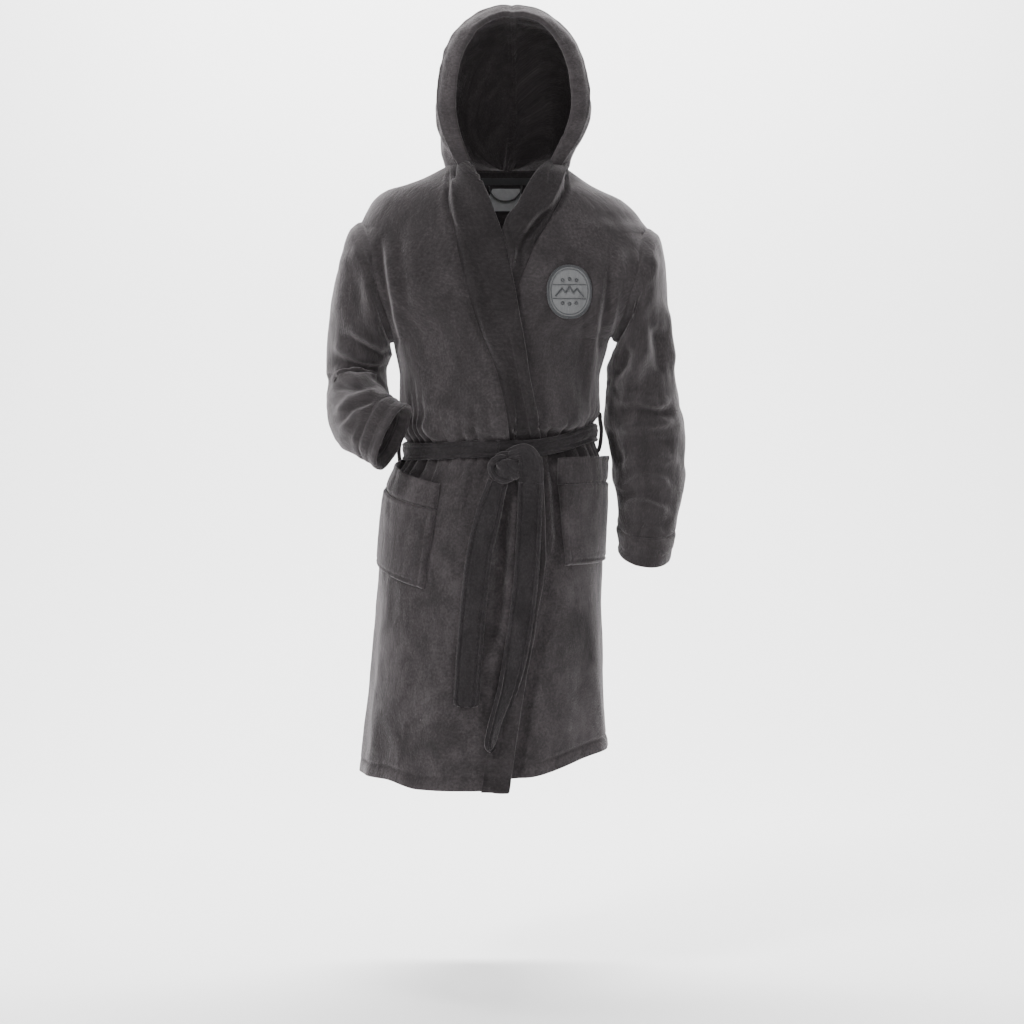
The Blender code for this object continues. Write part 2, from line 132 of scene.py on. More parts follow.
# ------------------------------------------------------------------ meshes
def normals_of(grid, wrap, hub):
    if wrap:
        du = np.roll(grid, -1, 1) - np.roll(grid, 1, 1)
    else:
        du = np.gradient(grid, axis=1)
    n = np.cross(du, np.gradient(grid, axis=0))
    n /= np.maximum(np.linalg.norm(n, axis=2, keepdims=True), 1e-12)
    if np.sum(n * (grid - np.asarray(hub, float))) < 0:
        n = -n
    return n


def new_object(name, points, quads, nap, material):
    """A mesh object of these quads, turned so that they face outwards, with its nap as an attribute."""
    if signed_volume(points, quads) < 0:
        quads = quads[:, ::-1]
    points, quads = np.asarray(points, np.float32), np.asarray(quads, np.int32)
    mesh = bpy.data.meshes.new(name)
    mesh.vertices.add(len(points))
    mesh.vertices.foreach_set("co", points.ravel())
    mesh.loops.add(quads.size)
    mesh.loops.foreach_set("vertex_index", quads.ravel())
    mesh.polygons.add(len(quads))
    mesh.polygons.foreach_set("loop_start", np.arange(0, quads.size, 4, dtype=np.int32))
    mesh.polygons.foreach_set("use_smooth", np.ones(len(quads), bool))
    mesh.update(calc_edges=True)
    layer = mesh.attributes.new("nap", "FLOAT_VECTOR", "POINT")
    layer.data.foreach_set("vector", np.asarray(nap, np.float32).ravel())
    mesh.validate()
    thing = bpy.data.objects.new(name + "_cloth", mesh)
    bpy.context.scene.collection.objects.link(thing)
    mesh.materials.append(material)
    return thing


def ring_quads(rows, cols, rejoin=False):
    """Faces between rings of points that each close on themselves; rejoin ties the last ring to the first."""
    i, j = np.meshgrid(np.arange(rows if rejoin else rows - 1), np.arange(cols), indexing="ij")
    i2, j2 = (i + 1) % rows, (j + 1) % cols
    return np.stack([i * cols + j, i2 * cols + j, i2 * cols + j2, i * cols + j2], -1).reshape(-1, 4)


def ball_quads(rows, cols):
    """Rings closed at both ends by strips of faces across the first and last ring."""
    quads = [ring_quads(rows, cols)]
    for base, flip in ((0, False), ((rows - 1) * cols, True)):
        k = np.arange(1, cols // 2)
        cap = np.stack([base + k - 1, base + k, base + (cols - k - 1) % cols, base + (cols - k) % cols], -1)
        quads.append(cap if flip else cap[:, ::-1])
    return np.vstack(quads)


def signed_volume(points, quads):
    p = np.asarray(points, float)
    a, b, c, d = (p[quads[:, k]] for k in range(4))
    return float(np.sum(a * np.cross(b, c)) + np.sum(a * np.cross(c, d)))


def shell(name, grid, thick=CLOTH, wrap=False, hub=(0, 0, 0), nap=None, material=None, roll=4):
    """A closed shell with rounded edges. The grid of points [row][column] is its outer face."""
    grid = np.asarray(grid, float)
    rows, cols = grid.shape[:2]
    n = normals_of(grid, wrap, hub)
    half = np.broadcast_to(np.asarray(thick, float), (rows, cols))[..., None] / 2
    mid = grid - n * half
    if nap is None:
        nap = arc_nap(grid)
    nap3 = np.dstack([nap[0], nap[1], np.zeros((rows, cols))])
    steps = [math.pi * (k + 1) / (roll + 1) for k in range(roll)]

    def edge_dir(inner, outer):
        d = outer - inner
        return d / np.maximum(np.linalg.norm(d, axis=-1, keepdims=True), 1e-9)

    def rolled(centre, normal, h, outward):
        return [centre + normal * h * math.cos(t) + outward * h * math.sin(t) for t in steps]

    if wrap:
        low = edge_dir(mid[-2], mid[-1])
        top = edge_dir(mid[1], mid[0])
        rings, naps = [mid + n * half], [nap3]
        rings.append(np.array(rolled(mid[-1], n[-1], half[-1], low)))
        naps.append(np.array([nap3[-1]] * roll))
        rings.append((mid - n * half)[::-1])
        naps.append(nap3[::-1] + np.array([7.0, 0, 0]))
        rings.append(np.array(rolled(mid[0], -n[0], half[0], top)))
        naps.append(np.array([nap3[0]] * roll))
        loop, naps = np.vstack(rings), np.vstack(naps)
        r, c = loop.shape[:2]
        quads = ring_quads(r, c, rejoin=True)
        points, naps = loop.reshape(-1, 3), naps.reshape(-1, 3)
    else:
        right = edge_dir(mid[:, -2], mid[:, -1])
        left = edge_dir(mid[:, 1], mid[:, 0])
        top = edge_dir(mid[1], mid[0])
        low = edge_dir(mid[-2], mid[-1])

        def loop_at(m, nn, h, r_dir, l_dir, nap_row):
            cols_out = m + nn * h
            roll_r = rolled(m[-1], nn[-1], h[-1], r_dir)
            cols_in = (m - nn * h)[::-1]
            roll_l = rolled(m[0], -nn[0], h[0], l_dir)
            naps_in = nap_row[::-1] + np.array([7.0, 0, 0])
            nap_loop = np.vstack([nap_row, [nap_row[-1]] * roll, naps_in, [nap_row[0]] * roll])
            return np.vstack([cols_out, roll_r, cols_in, roll_l]), nap_loop

        turns = [math.pi / 2 * (k + 1) / (roll // 2 + 1) for k in range(roll // 2)]
        places = [(0, top, t) for t in reversed(turns)] + [(r, top, 0.0) for r in range(rows)]
        places += [(-1, low, t) for t in turns]
        loops = []
        for r, outward, t in places:
            centre = mid[r] + outward * half[r] * math.sin(t)
            loops.append(loop_at(centre, n[r], half[r] * math.cos(t), right[r], left[r], nap3[r]))
        loop, naps = (np.array(part) for part in zip(*loops))
        r, c = loop.shape[:2]
        quads = [ring_quads(r, c)]
        k = np.arange(cols - 1)
        inner = lambda q: 2 * cols + roll - 1 - q
        for base, flip in ((0, False), ((r - 1) * c, True)):
            cap = np.stack([base + k, base + k + 1, base + inner(k + 1), base + inner(k)], -1)
            quads.append(cap[:, ::-1] if flip else cap)
            side = []
            rr = [base + cols - 1] + [base + cols + q for q in range(roll)] + [base + cols + roll]
            ll = [base + 2 * cols + roll - 1] + [base + 2 * cols + roll + q for q in range(roll)] + [base]
            for ring in (rr, ll):
                for q in range((len(ring) - 2) // 2):
                    side.append([ring[q], ring[q + 1], ring[len(ring) - 2 - q], ring[len(ring) - 1 - q]])
            side = np.array(side)
            quads.append(side[:, ::-1] if flip else side)
        quads = np.vstack(quads)
        points, naps = loop.reshape(-1, 3), naps.reshape(-1, 3)
    return new_object(name, points, quads, naps, material)


def arc_nap(grid):
    """Lengths along the cloth in both directions, for its nap."""
    du = np.linalg.norm(np.diff(grid, axis=1), axis=2)
    dv = np.linalg.norm(np.diff(grid, axis=0), axis=2)
    u = np.concatenate([np.zeros((grid.shape[0], 1)), np.cumsum(du, 1)], 1)
    v = np.concatenate([np.zeros((1, grid.shape[1])), np.cumsum(dv, 0)], 0)
    return u - u[:, :1] + (grid[:, :1, 0]), v


# ------------------------------------------------------------------ trunk
FORM = 2.4
UNDER = 0.0085
HEM_Z = -1.175
UNDER_HEM_Z = -1.153
WAIST_Z = -0.533
BELT_OUT = 0.0085
KNOT_Y = -0.150
RING_TOP = (0.280, -0.126)
RING_LOW = (0.208, -0.330)
RING_R = 0.107
TRUNK_HUB = (-0.01, 0.01, -0.6)
# radii that turn an angle into a length along the cloth
ROUND = 0.19
ROUND_BAND = 0.17
# height, half width, half depth, centre x, centre y
TRUNK = [
    (0.004, 0.119, 0.083, 0.003, 0.014), (-0.020, 0.160, 0.095, 0.002, 0.010),
    (-0.050, 0.227, 0.109, 0.000, 0.006), (-0.085, 0.261, 0.121, 0.000, 0.004),
    (-0.126, 0.2802, 0.131, 0.000, 0.003), (-0.331, 0.2076, 0.141, -0.0085, 0.002),
    (-0.352, 0.2025, 0.141, -0.009, 0.002),
    (-0.400, 0.192, 0.141, -0.010, 0.000), (-0.450, 0.192, 0.143, -0.010, -0.002),
    (-0.485, 0.192, 0.144, -0.010, -0.003), (-0.502, 0.188, 0.138, -0.010, -0.002),
    (-0.512, 0.180, 0.127, -0.010, 0.000), (-0.522, 0.1765, 0.1225, -0.010, 0.000),
    (-0.546, 0.1765, 0.1225, -0.010, 0.000), (-0.560, 0.182, 0.129, -0.011, 0.000),
    (-0.590, 0.196, 0.138, -0.015, 0.000), (-0.640, 0.208, 0.144, -0.020, 0.000),
    (-0.740, 0.214, 0.150, -0.027, 0.000), (-0.900, 0.221, 0.156, -0.031, 0.000),
    (-1.050, 0.229, 0.162, -0.035, 0.000), (-1.200, 0.237, 0.168, -0.037, 0.000),
]
A_OF, B_OF, CX_OF, CY_OF = (curve(TRUNK, k) for k in (1, 2, 3, 4))
# each line down the front: height, x
OVER_SEAM = curve([(0.01, -0.105), (-0.02, -0.107), (-0.06, -0.107), (-0.149, -0.091), (-0.221, -0.074),
                   (-0.320, -0.045), (-0.404, -0.011), (-0.516, 0.011), (-0.740, 0.026), (-0.854, 0.010),
                   (-1.036, -0.022), (-1.20, -0.046)])
OVER_EDGE = curve([(0.01, -0.070), (-0.064, -0.036), (-0.140, -0.008), (-0.221, 0.012), (-0.320, 0.030),
                   (-0.404, 0.044), (-0.516, 0.064), (-0.740, 0.073), (-0.854, 0.057), (-1.036, 0.025),
                   (-1.20, 0.001)])
UNDER_SEAM = curve([(0.01, 0.116), (-0.036, 0.113), (-0.104, 0.085), (-0.160, 0.051), (-0.210, 0.030),
                    (-0.300, 0.000), (-0.400, -0.030), (-0.520, -0.042), (-1.20, -0.045)])
UNDER_EDGE = curve([(0.01, 0.083), (-0.015, 0.062), (-0.098, 0.014), (-0.140, -0.010), (-0.210, -0.040),
                    (-0.300, -0.066), (-0.400, -0.086), (-0.520, -0.094), (-1.20, -0.095)])


def ring_share(z):
    """0 at the armhole's top, 1 at its bottom, and past them outside it."""
    return (RING_TOP[1] - z) / (RING_TOP[1] - RING_LOW[1])


def ring_reach(share):
    """How far out from the middle the armhole's plane lies."""
    return RING_TOP[0] + np.clip(share, 0, 1) * (RING_LOW[0] - RING_TOP[0])


def section(z):
    """Half width, half depth and centre of the trunk at these heights, widened beside the armholes."""
    a, b, cx, cy = A_OF(z), B_OF(z), CX_OF(z), CY_OF(z)
    share = ring_share(z)
    inside = (share > 0) & (share < 1)
    reach = ring_reach(share)
    depth = RING_R * np.sqrt(np.clip(1 - (2 * share - 1) ** 2, 0, 1))
    wide = (reach - 0.001) / (1 - np.minimum(depth / b, 0.95) ** FORM) ** (1 / FORM)
    cx = cx * np.where(inside, np.clip(4 * share - 3, 0, 1), 1)
    return np.where(inside, np.maximum(wide, reach), a), b, cx, cy, np.where(inside, reach, a)


def waist_rise(angle):
    """The belt sits higher at the wearer's left side than at the knot."""
    return 0.030 * smooth(0.15, 1.35, angle_wrap(angle)) - 0.006 * smooth(0.0, -0.9, angle_wrap(angle))


def angle_wrap(angle):
    """Folds the angle so that it runs from the wearer's right side over the front to the left side."""
    return np.arcsin(np.sin(angle) * 0.999)


def trunk(angle, z, out=0.0):
    angle, z = np.broadcast_arrays(np.asarray(angle, float), np.asarray(z, float))
    level = z - waist_rise(angle) * np.exp(-(((z - WAIST_Z - 0.01) / 0.095) ** 4))
    a, b, cx, cy, _ = section(level)
    s, c = np.sin(angle), np.cos(angle)
    x = cx + (a + out) * np.sign(s) * np.abs(s) ** (2 / FORM)
    y = cy - (b + out) * np.sign(c) * np.abs(c) ** (2 / FORM)
    return np.stack([x, y, z], -1)


def angle_at(x, z):
    a, _, cx, _, _ = section(z)
    share = np.minimum(np.abs(x - cx) / a, 1.0)
    return np.sign(x - cx) * np.arcsin(share ** (FORM / 2))


def side_angle(z, side, back=False):
    a, _, _, _, reach = section(z)
    share = np.minimum(np.abs(side * reach) / a, 1.0)
    angle = np.arcsin(share ** (FORM / 2))
    top, low = RING_TOP[1], RING_LOW[1]
    angle = np.where((z < top) & (z > low), angle, math.pi / 2)
    if back:
        angle = math.pi - angle
    return side * angle


def rows_for(low, fine=0.0055):
    """Heights down the trunk, closer together where the armholes curve."""
    top, bottom = RING_TOP[1], RING_LOW[1]
    above = np.arange(SEAM_Z + 0.0006, top - 0.0005, -0.0024)
    t = np.linspace(0.03, math.pi - 0.03, 58)
    beside = (top + bottom) / 2 + (top - bottom) / 2 * np.cos(t)
    below = np.linspace(bottom - 0.001, low, int((bottom - low) / fine))
    return np.concatenate([above, beside, below])


def gathers(angle, z):
    """Small pleats where the belt pulls the cloth in."""
    q = angle * ROUND
    pull = 0.0034 * bump(z, WAIST_Z, 0.035) + 0.0026 * smooth(-0.78, -0.57, z) * smooth(-0.535, -0.56, z)
    pull = pull + 0.0026 * smooth(-0.40, -0.50, z) * smooth(-0.535, -0.51, z)
    phase = q / 0.034 + 0.55 * noise(q / 0.07, z / 0.12, 11)
    wave = 1 - 2 * np.abs(np.sin(math.pi * phase)) ** 0.8
    return -pull * wave * (0.6 + 0.4 * noise(q / 0.05, 3.0, 5))


def flutes(angle, z, front):
    """Long soft folds of the skirt, deeper towards the hem."""
    grow = smooth(-0.60, -1.16, z)
    size = 0.0085 * (1 - 0.55 * front)
    wave = np.cos(5 * angle + 0.8 + 0.35 * noise(z / 0.4, 1.0, 3)) + 0.6 * np.cos(9 * angle + 2.1)
    wave = wave + 0.5 * np.cos(14 * angle + 4.0 + 0.5 * noise(z / 0.3, 2.0, 4))
    return size * grow * wave * 0.6


def soft_noise(x, z, seed, size=0.0022):
    return size * layered(x / 0.085, z / 0.17, seed) + 0.35 * size * noise(x / 0.022, z / 0.035, seed + 9)


FRONT_FOLDS = [
    # gathers pulled to the knot, above the belt
    ([(-0.185, -0.478), (-0.125, -0.508), (-0.060, -0.522), (-0.010, -0.530)], 0.0085, 0.0100),
    ([(-0.165, -0.440), (-0.095, -0.470), (-0.045, -0.500), (-0.005, -0.526)], 0.0080, 0.0100),
    ([(-0.090, -0.400), (-0.050, -0.455), (-0.010, -0.512)], 0.0060, 0.0105),
    ([(-0.038, -0.440), (-0.012, -0.490), (0.004, -0.522)], 0.0045, 0.0070),
    ([(-0.130, -0.455), (-0.070, -0.490), (-0.020, -0.520)], -0.0050, 0.0060),
    ([(-0.150, -0.495), (-0.080, -0.518), (-0.030, -0.530)], -0.0050, 0.0055),
    # broad drape of the wearer's right chest
    ([(-0.185, -0.300), (-0.165, -0.380), (-0.120, -0.460)], 0.0060, 0.0260),
    ([(-0.120, -0.200), (-0.115, -0.320), (-0.075, -0.430)], 0.0040, 0.0300),
    ([(-0.226, -0.131), (-0.212, -0.220), (-0.196, -0.300), (-0.180, -0.360)], 0.0070, 0.0085),
    ([(-0.238, -0.140), (-0.226, -0.230), (-0.212, -0.310)], -0.0060, 0.0060),
    ([(-0.205, -0.120), (-0.192, -0.210), (-0.180, -0.290)], -0.0040, 0.0080),
    ([(-0.180, -0.110), (-0.170, -0.200), (-0.160, -0.300)], 0.0035, 0.0120),
    # beside the wearer's left arm
    ([(0.184, -0.150), (0.170, -0.270), (0.160, -0.380), (0.158, -0.460)], 0.0065, 0.0090),
    ([(0.204, -0.170), (0.190, -0.280), (0.178, -0.380)], -0.0060, 0.0070),
    ([(0.222, -0.150), (0.206, -0.240), (0.192, -0.340)], 0.0055, 0.0080),
    ([(0.160, -0.180), (0.150, -0.300), (0.142, -0.400)], -0.0030, 0.0100),
    ([(0.095, -0.400), (0.120, -0.450), (0.150, -0.480)], 0.0045, 0.0140),
    ([(0.075, -0.380), (0.080, -0.450), (0.074, -0.508)], -0.0040, 0.0100),
    ([(0.060, -0.500), (0.110, -0.488), (0.160, -0.484)], 0.0060, 0.0100),
    # under the knot
    ([(0.004, -0.590), (-0.003, -0.680), (-0.010, -0.780), (-0.018, -0.930)], -0.0150, 0.0105),
    ([(0.024, -0.585), (0.018, -0.680), (0.012, -0.820)], 0.0070, 0.0095),
    ([(-0.020, -0.585), (-0.034, -0.680), (-0.044, -0.840)], 0.0075, 0.0120),
    ([(0.078, -0.560), (0.086, -0.640), (0.090, -0.760)], 0.0055, 0.0070),
    ([(0.093, -0.560), (0.103, -0.640), (0.108, -0.740)], -0.0060, 0.0060),
    ([(0.108, -0.560), (0.114, -0.620), (0.118, -0.700)], 0.0040, 0.0070),
    ([(-0.060, -0.570), (-0.090, -0.620), (-0.130, -0.650)], 0.0035, 0.0090),
    ([(-0.045, -0.560), (-0.060, -0.640), (-0.075, -0.740)], -0.0035, 0.0100),
    # skirt
    ([(-0.110, -0.860), (-0.125, -1.000), (-0.140, -1.150)], 0.0055, 0.0300),
    ([(-0.060, -0.900), (-0.070, -1.030), (-0.080, -1.160)], -0.0040, 0.0240),
    ([(0.090, -0.860), (0.095, -1.000), (0.100, -1.140)], 0.0050, 0.0280),
    ([(0.045, -0.900), (0.040, -1.020), (0.030, -1.140)], -0.0040, 0.0200),
]
BACK_FOLDS = [
    ([(0.000, -0.080), (0.004, -0.250), (-0.004, -0.420)], -0.0030, 0.0220),
    ([(-0.150, -0.150), (-0.140, -0.280), (-0.090, -0.470)], 0.0060, 0.0200),
    ([(0.150, -0.150), (0.140, -0.280), (0.090, -0.470)], 0.0060, 0.0200),
    ([(-0.225, -0.150), (-0.205, -0.250), (-0.165, -0.400)], 0.0060, 0.0095),
    ([(0.225, -0.150), (0.205, -0.250), (0.165, -0.400)], 0.0060, 0.0095),
    ([(-0.205, -0.170), (-0.185, -0.280), (-0.140, -0.430)], -0.0055, 0.0085),
    ([(0.205, -0.170), (0.185, -0.280), (0.140, -0.430)], -0.0055, 0.0085),
    ([(-0.150, -0.440), (-0.060, -0.478), (0.040, -0.472), (0.140, -0.450)], 0.0070, 0.0140),
    ([(-0.120, -0.500), (-0.030, -0.498), (0.060, -0.503)], -0.0040, 0.0060),
    ([(-0.050, -0.560), (-0.060, -0.700), (-0.080, -0.900)], 0.0060, 0.0130),
    ([(0.030, -0.560), (0.040, -0.720), (0.060, -0.950)], 0.0060, 0.0130),
    ([(-0.010, -0.560), (-0.010, -0.700), (-0.012, -0.860)], -0.0055, 0.0130),
    ([(-0.110, -0.560), (-0.130, -0.680), (-0.150, -0.900)], -0.0050, 0.0130),
    ([(0.100, -0.560), (0.115, -0.680), (0.120, -0.900)], -0.0050, 0.0130),
]


FOLD_GAIN = 1.35


def folds(x, z, table):
    total = np.zeros(np.broadcast(x, z).shape)
    for points, high, wide in table:
        total = total + ridge(x, z, points, high * FOLD_GAIN, wide * 1.30)
    return total


def fold_depth(angle, z, x, front):
    """How far the trunk's cloth stands out of its base surface."""
    facing = np.cos(angle)
    face = smooth(0.05, 0.45, facing) if front else smooth(0.05, 0.45, -facing)
    d = gathers(angle, z) + flutes(angle, z, smooth(0.1, 0.8, facing))
    d = d + soft_noise(angle * ROUND, z, 21)
    edge = smooth(0.0, 0.025, SEAM_Z - z)
    table = FRONT_FOLDS if front else BACK_FOLDS
    return (d * (0.35 + 0.65 * smooth(-0.02, -0.12, z)) + folds(x, z, table) * face) * edge


def near_armhole(x, z):
    """0 on the armhole's ring and 1 away from it, so that the seam stays a clean circle."""
    top, low = RING_TOP[1], RING_LOW[1]
    reach = ring_reach(ring_share(z))
    far_z = np.maximum(np.maximum(z - top, low - z), 0)
    return smooth(0.003, 0.020, np.hypot(np.maximum(reach - np.abs(x), 0), far_z))


def lean_in(x, z):
    """How far the lower front lies inside the upper one."""
    d = x - OVER_EDGE(z)
    below = smooth(-0.55, -0.66, z)
    return UNDER * smooth(0.055, 0.020, d) + 0.0060 * below * bump(d, 0.018, 0.013)


def trunk_y(x, z, front):
    """The plain surface's y at a place on the front or the back."""
    a, b, cx, cy, _ = section(z)
    share = np.clip(np.abs(x - cx) / a, 0, 1)
    return cy + (-1 if front else 1) * b * (1 - share**FORM) ** (1 / FORM)


def soften_shoulder(base, z, front):
    """Averages away the crease at the height where the armhole begins."""
    x = base[..., 0]
    steps = np.linspace(-0.030, 0.030, 9)
    mean = np.mean([trunk_y(x, z + d, front) for d in steps], axis=0)
    a = section(z)[0]
    top = RING_TOP[1]
    reach = ring_reach(ring_share(z))
    weight = smooth(0.004, 0.040, np.minimum(reach, a) - np.abs(x))
    weight = weight * smooth(0.062, 0.030, np.abs(z - top + 0.006))
    base[..., 1] += (mean - base[..., 1]) * weight
    return base


def face_grid(start, end, rows, cols, front=True, under=False):
    """A grid on the trunk between two angles given for each row, with its folds."""
    share = np.linspace(0, 1, cols)[None, :]
    angle = start[:, None] + (end - start)[:, None] * share
    z = np.broadcast_to(rows[:, None], angle.shape)
    base = soften_shoulder(trunk(angle, z), z, front)
    n = normals_of(base, False, TRUNK_HUB)
    n[..., 2] *= 0.35
    n /= np.linalg.norm(n, axis=2, keepdims=True)
    x = base[..., 0]
    keep = near_armhole(x, z)
    depth = fold_depth(angle, z, x, front) * keep
    if under:
        depth = depth - lean_in(x, z)
    return base + n * depth[..., None], angle, z


# ------------------------------------------------------------------ materials
def shader(name):
    mat = bpy.data.materials.new(name)
    mat.use_nodes = True
    tree = mat.node_tree
    tree.nodes.clear()
    out = tree.nodes.new("ShaderNodeOutputMaterial")
    bsdf = tree.nodes.new("ShaderNodeBsdfPrincipled")
    tree.links.new(bsdf.outputs[0], out.inputs[0])
    return mat, tree, bsdf


class Build:
    """Short calls for node trees."""

    def __init__(self, tree):
        self.tree = tree

    def node(self, kind, **values):
        n = self.tree.nodes.new("ShaderNode" + kind)
        for key, value in values.items():
            setattr(n, key, value)
        return n

    def link(self, a, b):
        self.tree.links.new(a, b)

    def nap(self):
        return self.node("Attribute", attribute_name="nap").outputs["Vector"]

    def bands(self, source, axis, scale, distortion):
        n = self.node("TexWave", wave_type="BANDS", bands_direction=axis)
        n.inputs["Scale"].default_value = scale
        n.inputs["Distortion"].default_value = distortion
        self.link(source, n.inputs["Vector"])
        return n

    def scaled(self, source, scale):
        n = self.node("Mapping")
        n.inputs["Scale"].default_value = scale
        self.link(source, n.inputs["Vector"])
        return n.outputs[0]

    def noise(self, source, scale, detail=2.0, rough=0.5, distortion=0.0):
        n = self.node("TexNoise")
        n.inputs["Scale"].default_value = scale
        n.inputs["Detail"].default_value = detail
        n.inputs["Roughness"].default_value = rough
        n.inputs["Distortion"].default_value = distortion
        self.link(source, n.inputs["Vector"])
        return n.outputs["Fac"]

    def math(self, kind, a, b=None, clamp=False):
        n = self.node("Math", operation=kind, use_clamp=clamp)
        for k, v in enumerate((a, b)):
            if v is None:
                continue
            if isinstance(v, (int, float)):
                n.inputs[k].default_value = v
            else:
                self.link(v, n.inputs[k])
        return n.outputs[0]

    def ramp(self, source, stops):
        n = self.node("ValToRGB")
        while len(n.color_ramp.elements) < len(stops):
            n.color_ramp.elements.new(0.5)
        for e, (pos, col) in zip(n.color_ramp.elements, stops):
            e.position = pos
            e.color = (*col, 1)
        self.link(source, n.inputs[0])
        return n.outputs[0]

    def bump(self, height, strength, distance, before=None):
        n = self.node("Bump")
        n.inputs["Strength"].default_value = strength
        n.inputs["Distance"].default_value = distance
        self.link(height, n.inputs["Height"])
        if before is not None:
            self.link(before, n.inputs["Normal"])
        return n.outputs[0]


def fleece(name, light=1.0, tint=(1.0, 0.885, 0.925), streak=1.0, sheen=1.0):
    """Plush charcoal fleece: mottled where the nap of the skirt was brushed, with a soft bright rim. light
    scales its whole colour, which paints lit and shaded copies of the one fleece.
    """
    mat, tree, bsdf = shader(name)
    b = Build(tree)
    v = b.nap()
    split = b.node("SeparateXYZ")
    b.link(v, split.inputs[0])
    below = b.math("ADD", b.math("MULTIPLY", split.outputs["Y"], -1.0), -0.42)
    skirt = b.math("MULTIPLY", below, 2.6, clamp=True)
    patches = b.noise(b.scaled(v, (11, 7, 1)), 1.0, 4.0, 0.60, 0.8)
    strokes = b.noise(b.scaled(v, (58, 26, 1)), 1.0, 3.0, 0.6, 0.8)
    clumps = b.noise(b.scaled(v, (300, 190, 1)), 1.0, 3.0, 0.65)
    fuzz = b.noise(b.scaled(v, (1100, 900, 1)), 1.0, 2.0, 0.7)
    cloud = b.math("ADD", b.math("MULTIPLY", patches, 0.62), b.math("MULTIPLY", strokes, 0.30 * streak))
    cloud = b.math("SUBTRACT", cloud, 0.31 + 0.15 * streak)
    cloud = b.math("MULTIPLY", cloud, b.math("ADD", b.math("MULTIPLY", skirt, 0.30), 0.55))
    grain = b.math("ADD", b.math("MULTIPLY", clumps, 0.36), b.math("MULTIPLY", fuzz, 0.26))
    grain = b.math("SUBTRACT", grain, 0.31)
    mix = b.math("ADD", b.math("ADD", cloud, grain), 0.5)
    mix = b.math("ADD", mix, b.math("MULTIPLY", skirt, 0.03))
    # light scales all three colours: above 1 this is painted light, below 1 painted shade
    dark = tuple(0.0145 * light * c for c in tint)
    mid = tuple(0.0290 * light * c for c in tint)
    pale = tuple(0.0540 * light * c for c in tint)
    colour = b.ramp(mix, [(0.34, dark), (0.50, mid), (0.66, pale)])
    b.link(colour, bsdf.inputs["Base Color"])
    rough = b.math("ADD", b.math("MULTIPLY", clumps, 0.20), 0.78)
    b.link(rough, bsdf.inputs["Roughness"])
    bsdf.inputs["Specular IOR Level"].default_value = 0.08
    bsdf.inputs["Sheen Weight"].default_value = 0.38
    bsdf.inputs["Sheen Roughness"].default_value = 0.40
    level = 0.85 * sheen
    bsdf.inputs["Sheen Tint"].default_value = (level, 0.945 * level, 0.965 * level, 1)
    first = b.bump(strokes, 0.30, 0.0045)
    second = b.bump(clumps, 0.60, 0.0022, first)
    third = b.bump(fuzz, 0.60, 0.0009, second)
    b.link(third, bsdf.inputs["Normal"])
    return mat


def shades(base, dark, pale):
    """Three steps of one colour."""
    return tuple(dark * c for c in base), base, tuple(min(pale * c, 1) for c in base)


def woven(name, base, scale=900.0, rough=0.75):
    """Plain cotton or satin weave."""
    mat, tree, bsdf = shader(name)
    b = Build(tree)
    v = b.nap()
    warp, weft = (b.bands(v, axis, scale / 6, 1.2) for axis in "XY")
    weave = b.math("MULTIPLY", warp.outputs["Fac"], weft.outputs["Fac"])
    spots = b.noise(b.scaled(v, (120, 120, 1)), 1.0, 3.0)
    mix = b.math("ADD", b.math("MULTIPLY", weave, 0.5), b.math("MULTIPLY", spots, 0.5))
    colour = b.ramp(mix, list(zip((0.2, 0.6, 0.9), shades(base, 0.72, 1.2))))
    b.link(colour, bsdf.inputs["Base Color"])
    bsdf.inputs["Roughness"].default_value = rough
    bsdf.inputs["Sheen Weight"].default_value = 0.3
    b.link(b.bump(weave, 0.6, 0.0004), bsdf.inputs["Normal"])
    return mat


def satin_stitch(name, base, direction=(1, 0)):
    """Rows of shiny embroidery thread."""
    mat, tree, bsdf = shader(name)
    b = Build(tree)
    v = b.nap()
    turned = b.node("Mapping")
    turned.inputs["Rotation"].default_value = (0, 0, math.atan2(direction[1], direction[0]))
    b.link(v, turned.inputs["Vector"])
    wave = b.bands(turned.outputs[0], "X", 260.0, 0.8)
    wave.inputs["Detail"].default_value = 1.0
    rows = b.noise(b.scaled(turned.outputs[0], (320, 45, 1)), 1.0, 2.0)
    mix = b.math("ADD", b.math("MULTIPLY", wave.outputs["Fac"], 0.45), b.math("MULTIPLY", rows, 0.55))
    colour = b.ramp(mix, list(zip((0.15, 0.5, 0.85), shades(base, 0.60, 1.25))))
    b.link(colour, bsdf.inputs["Base Color"])
    bsdf.inputs["Roughness"].default_value = 0.38
    bsdf.inputs["Sheen Weight"].default_value = 0.2
    b.link(b.bump(mix, 0.7, 0.0006), bsdf.inputs["Normal"])
    return mat


FLEECE = fleece("fleece_body")
# the hood's copy of the fleece has painted light: its colour is 1.15 times lighter, where the top of the robe
# catches more light
FLEECE_HOOD_PAINTED_LIGHT = fleece("fleece_hood_painted_light", light=1.15)
# the front bands' copy of the fleece has painted shade: its colour is darkened to 0.62 for the shadow in
# their rolls and recesses
FLEECE_BAND_PAINTED_SHADE = fleece("fleece_band", light=0.62, streak=0.8, sheen=0.85)
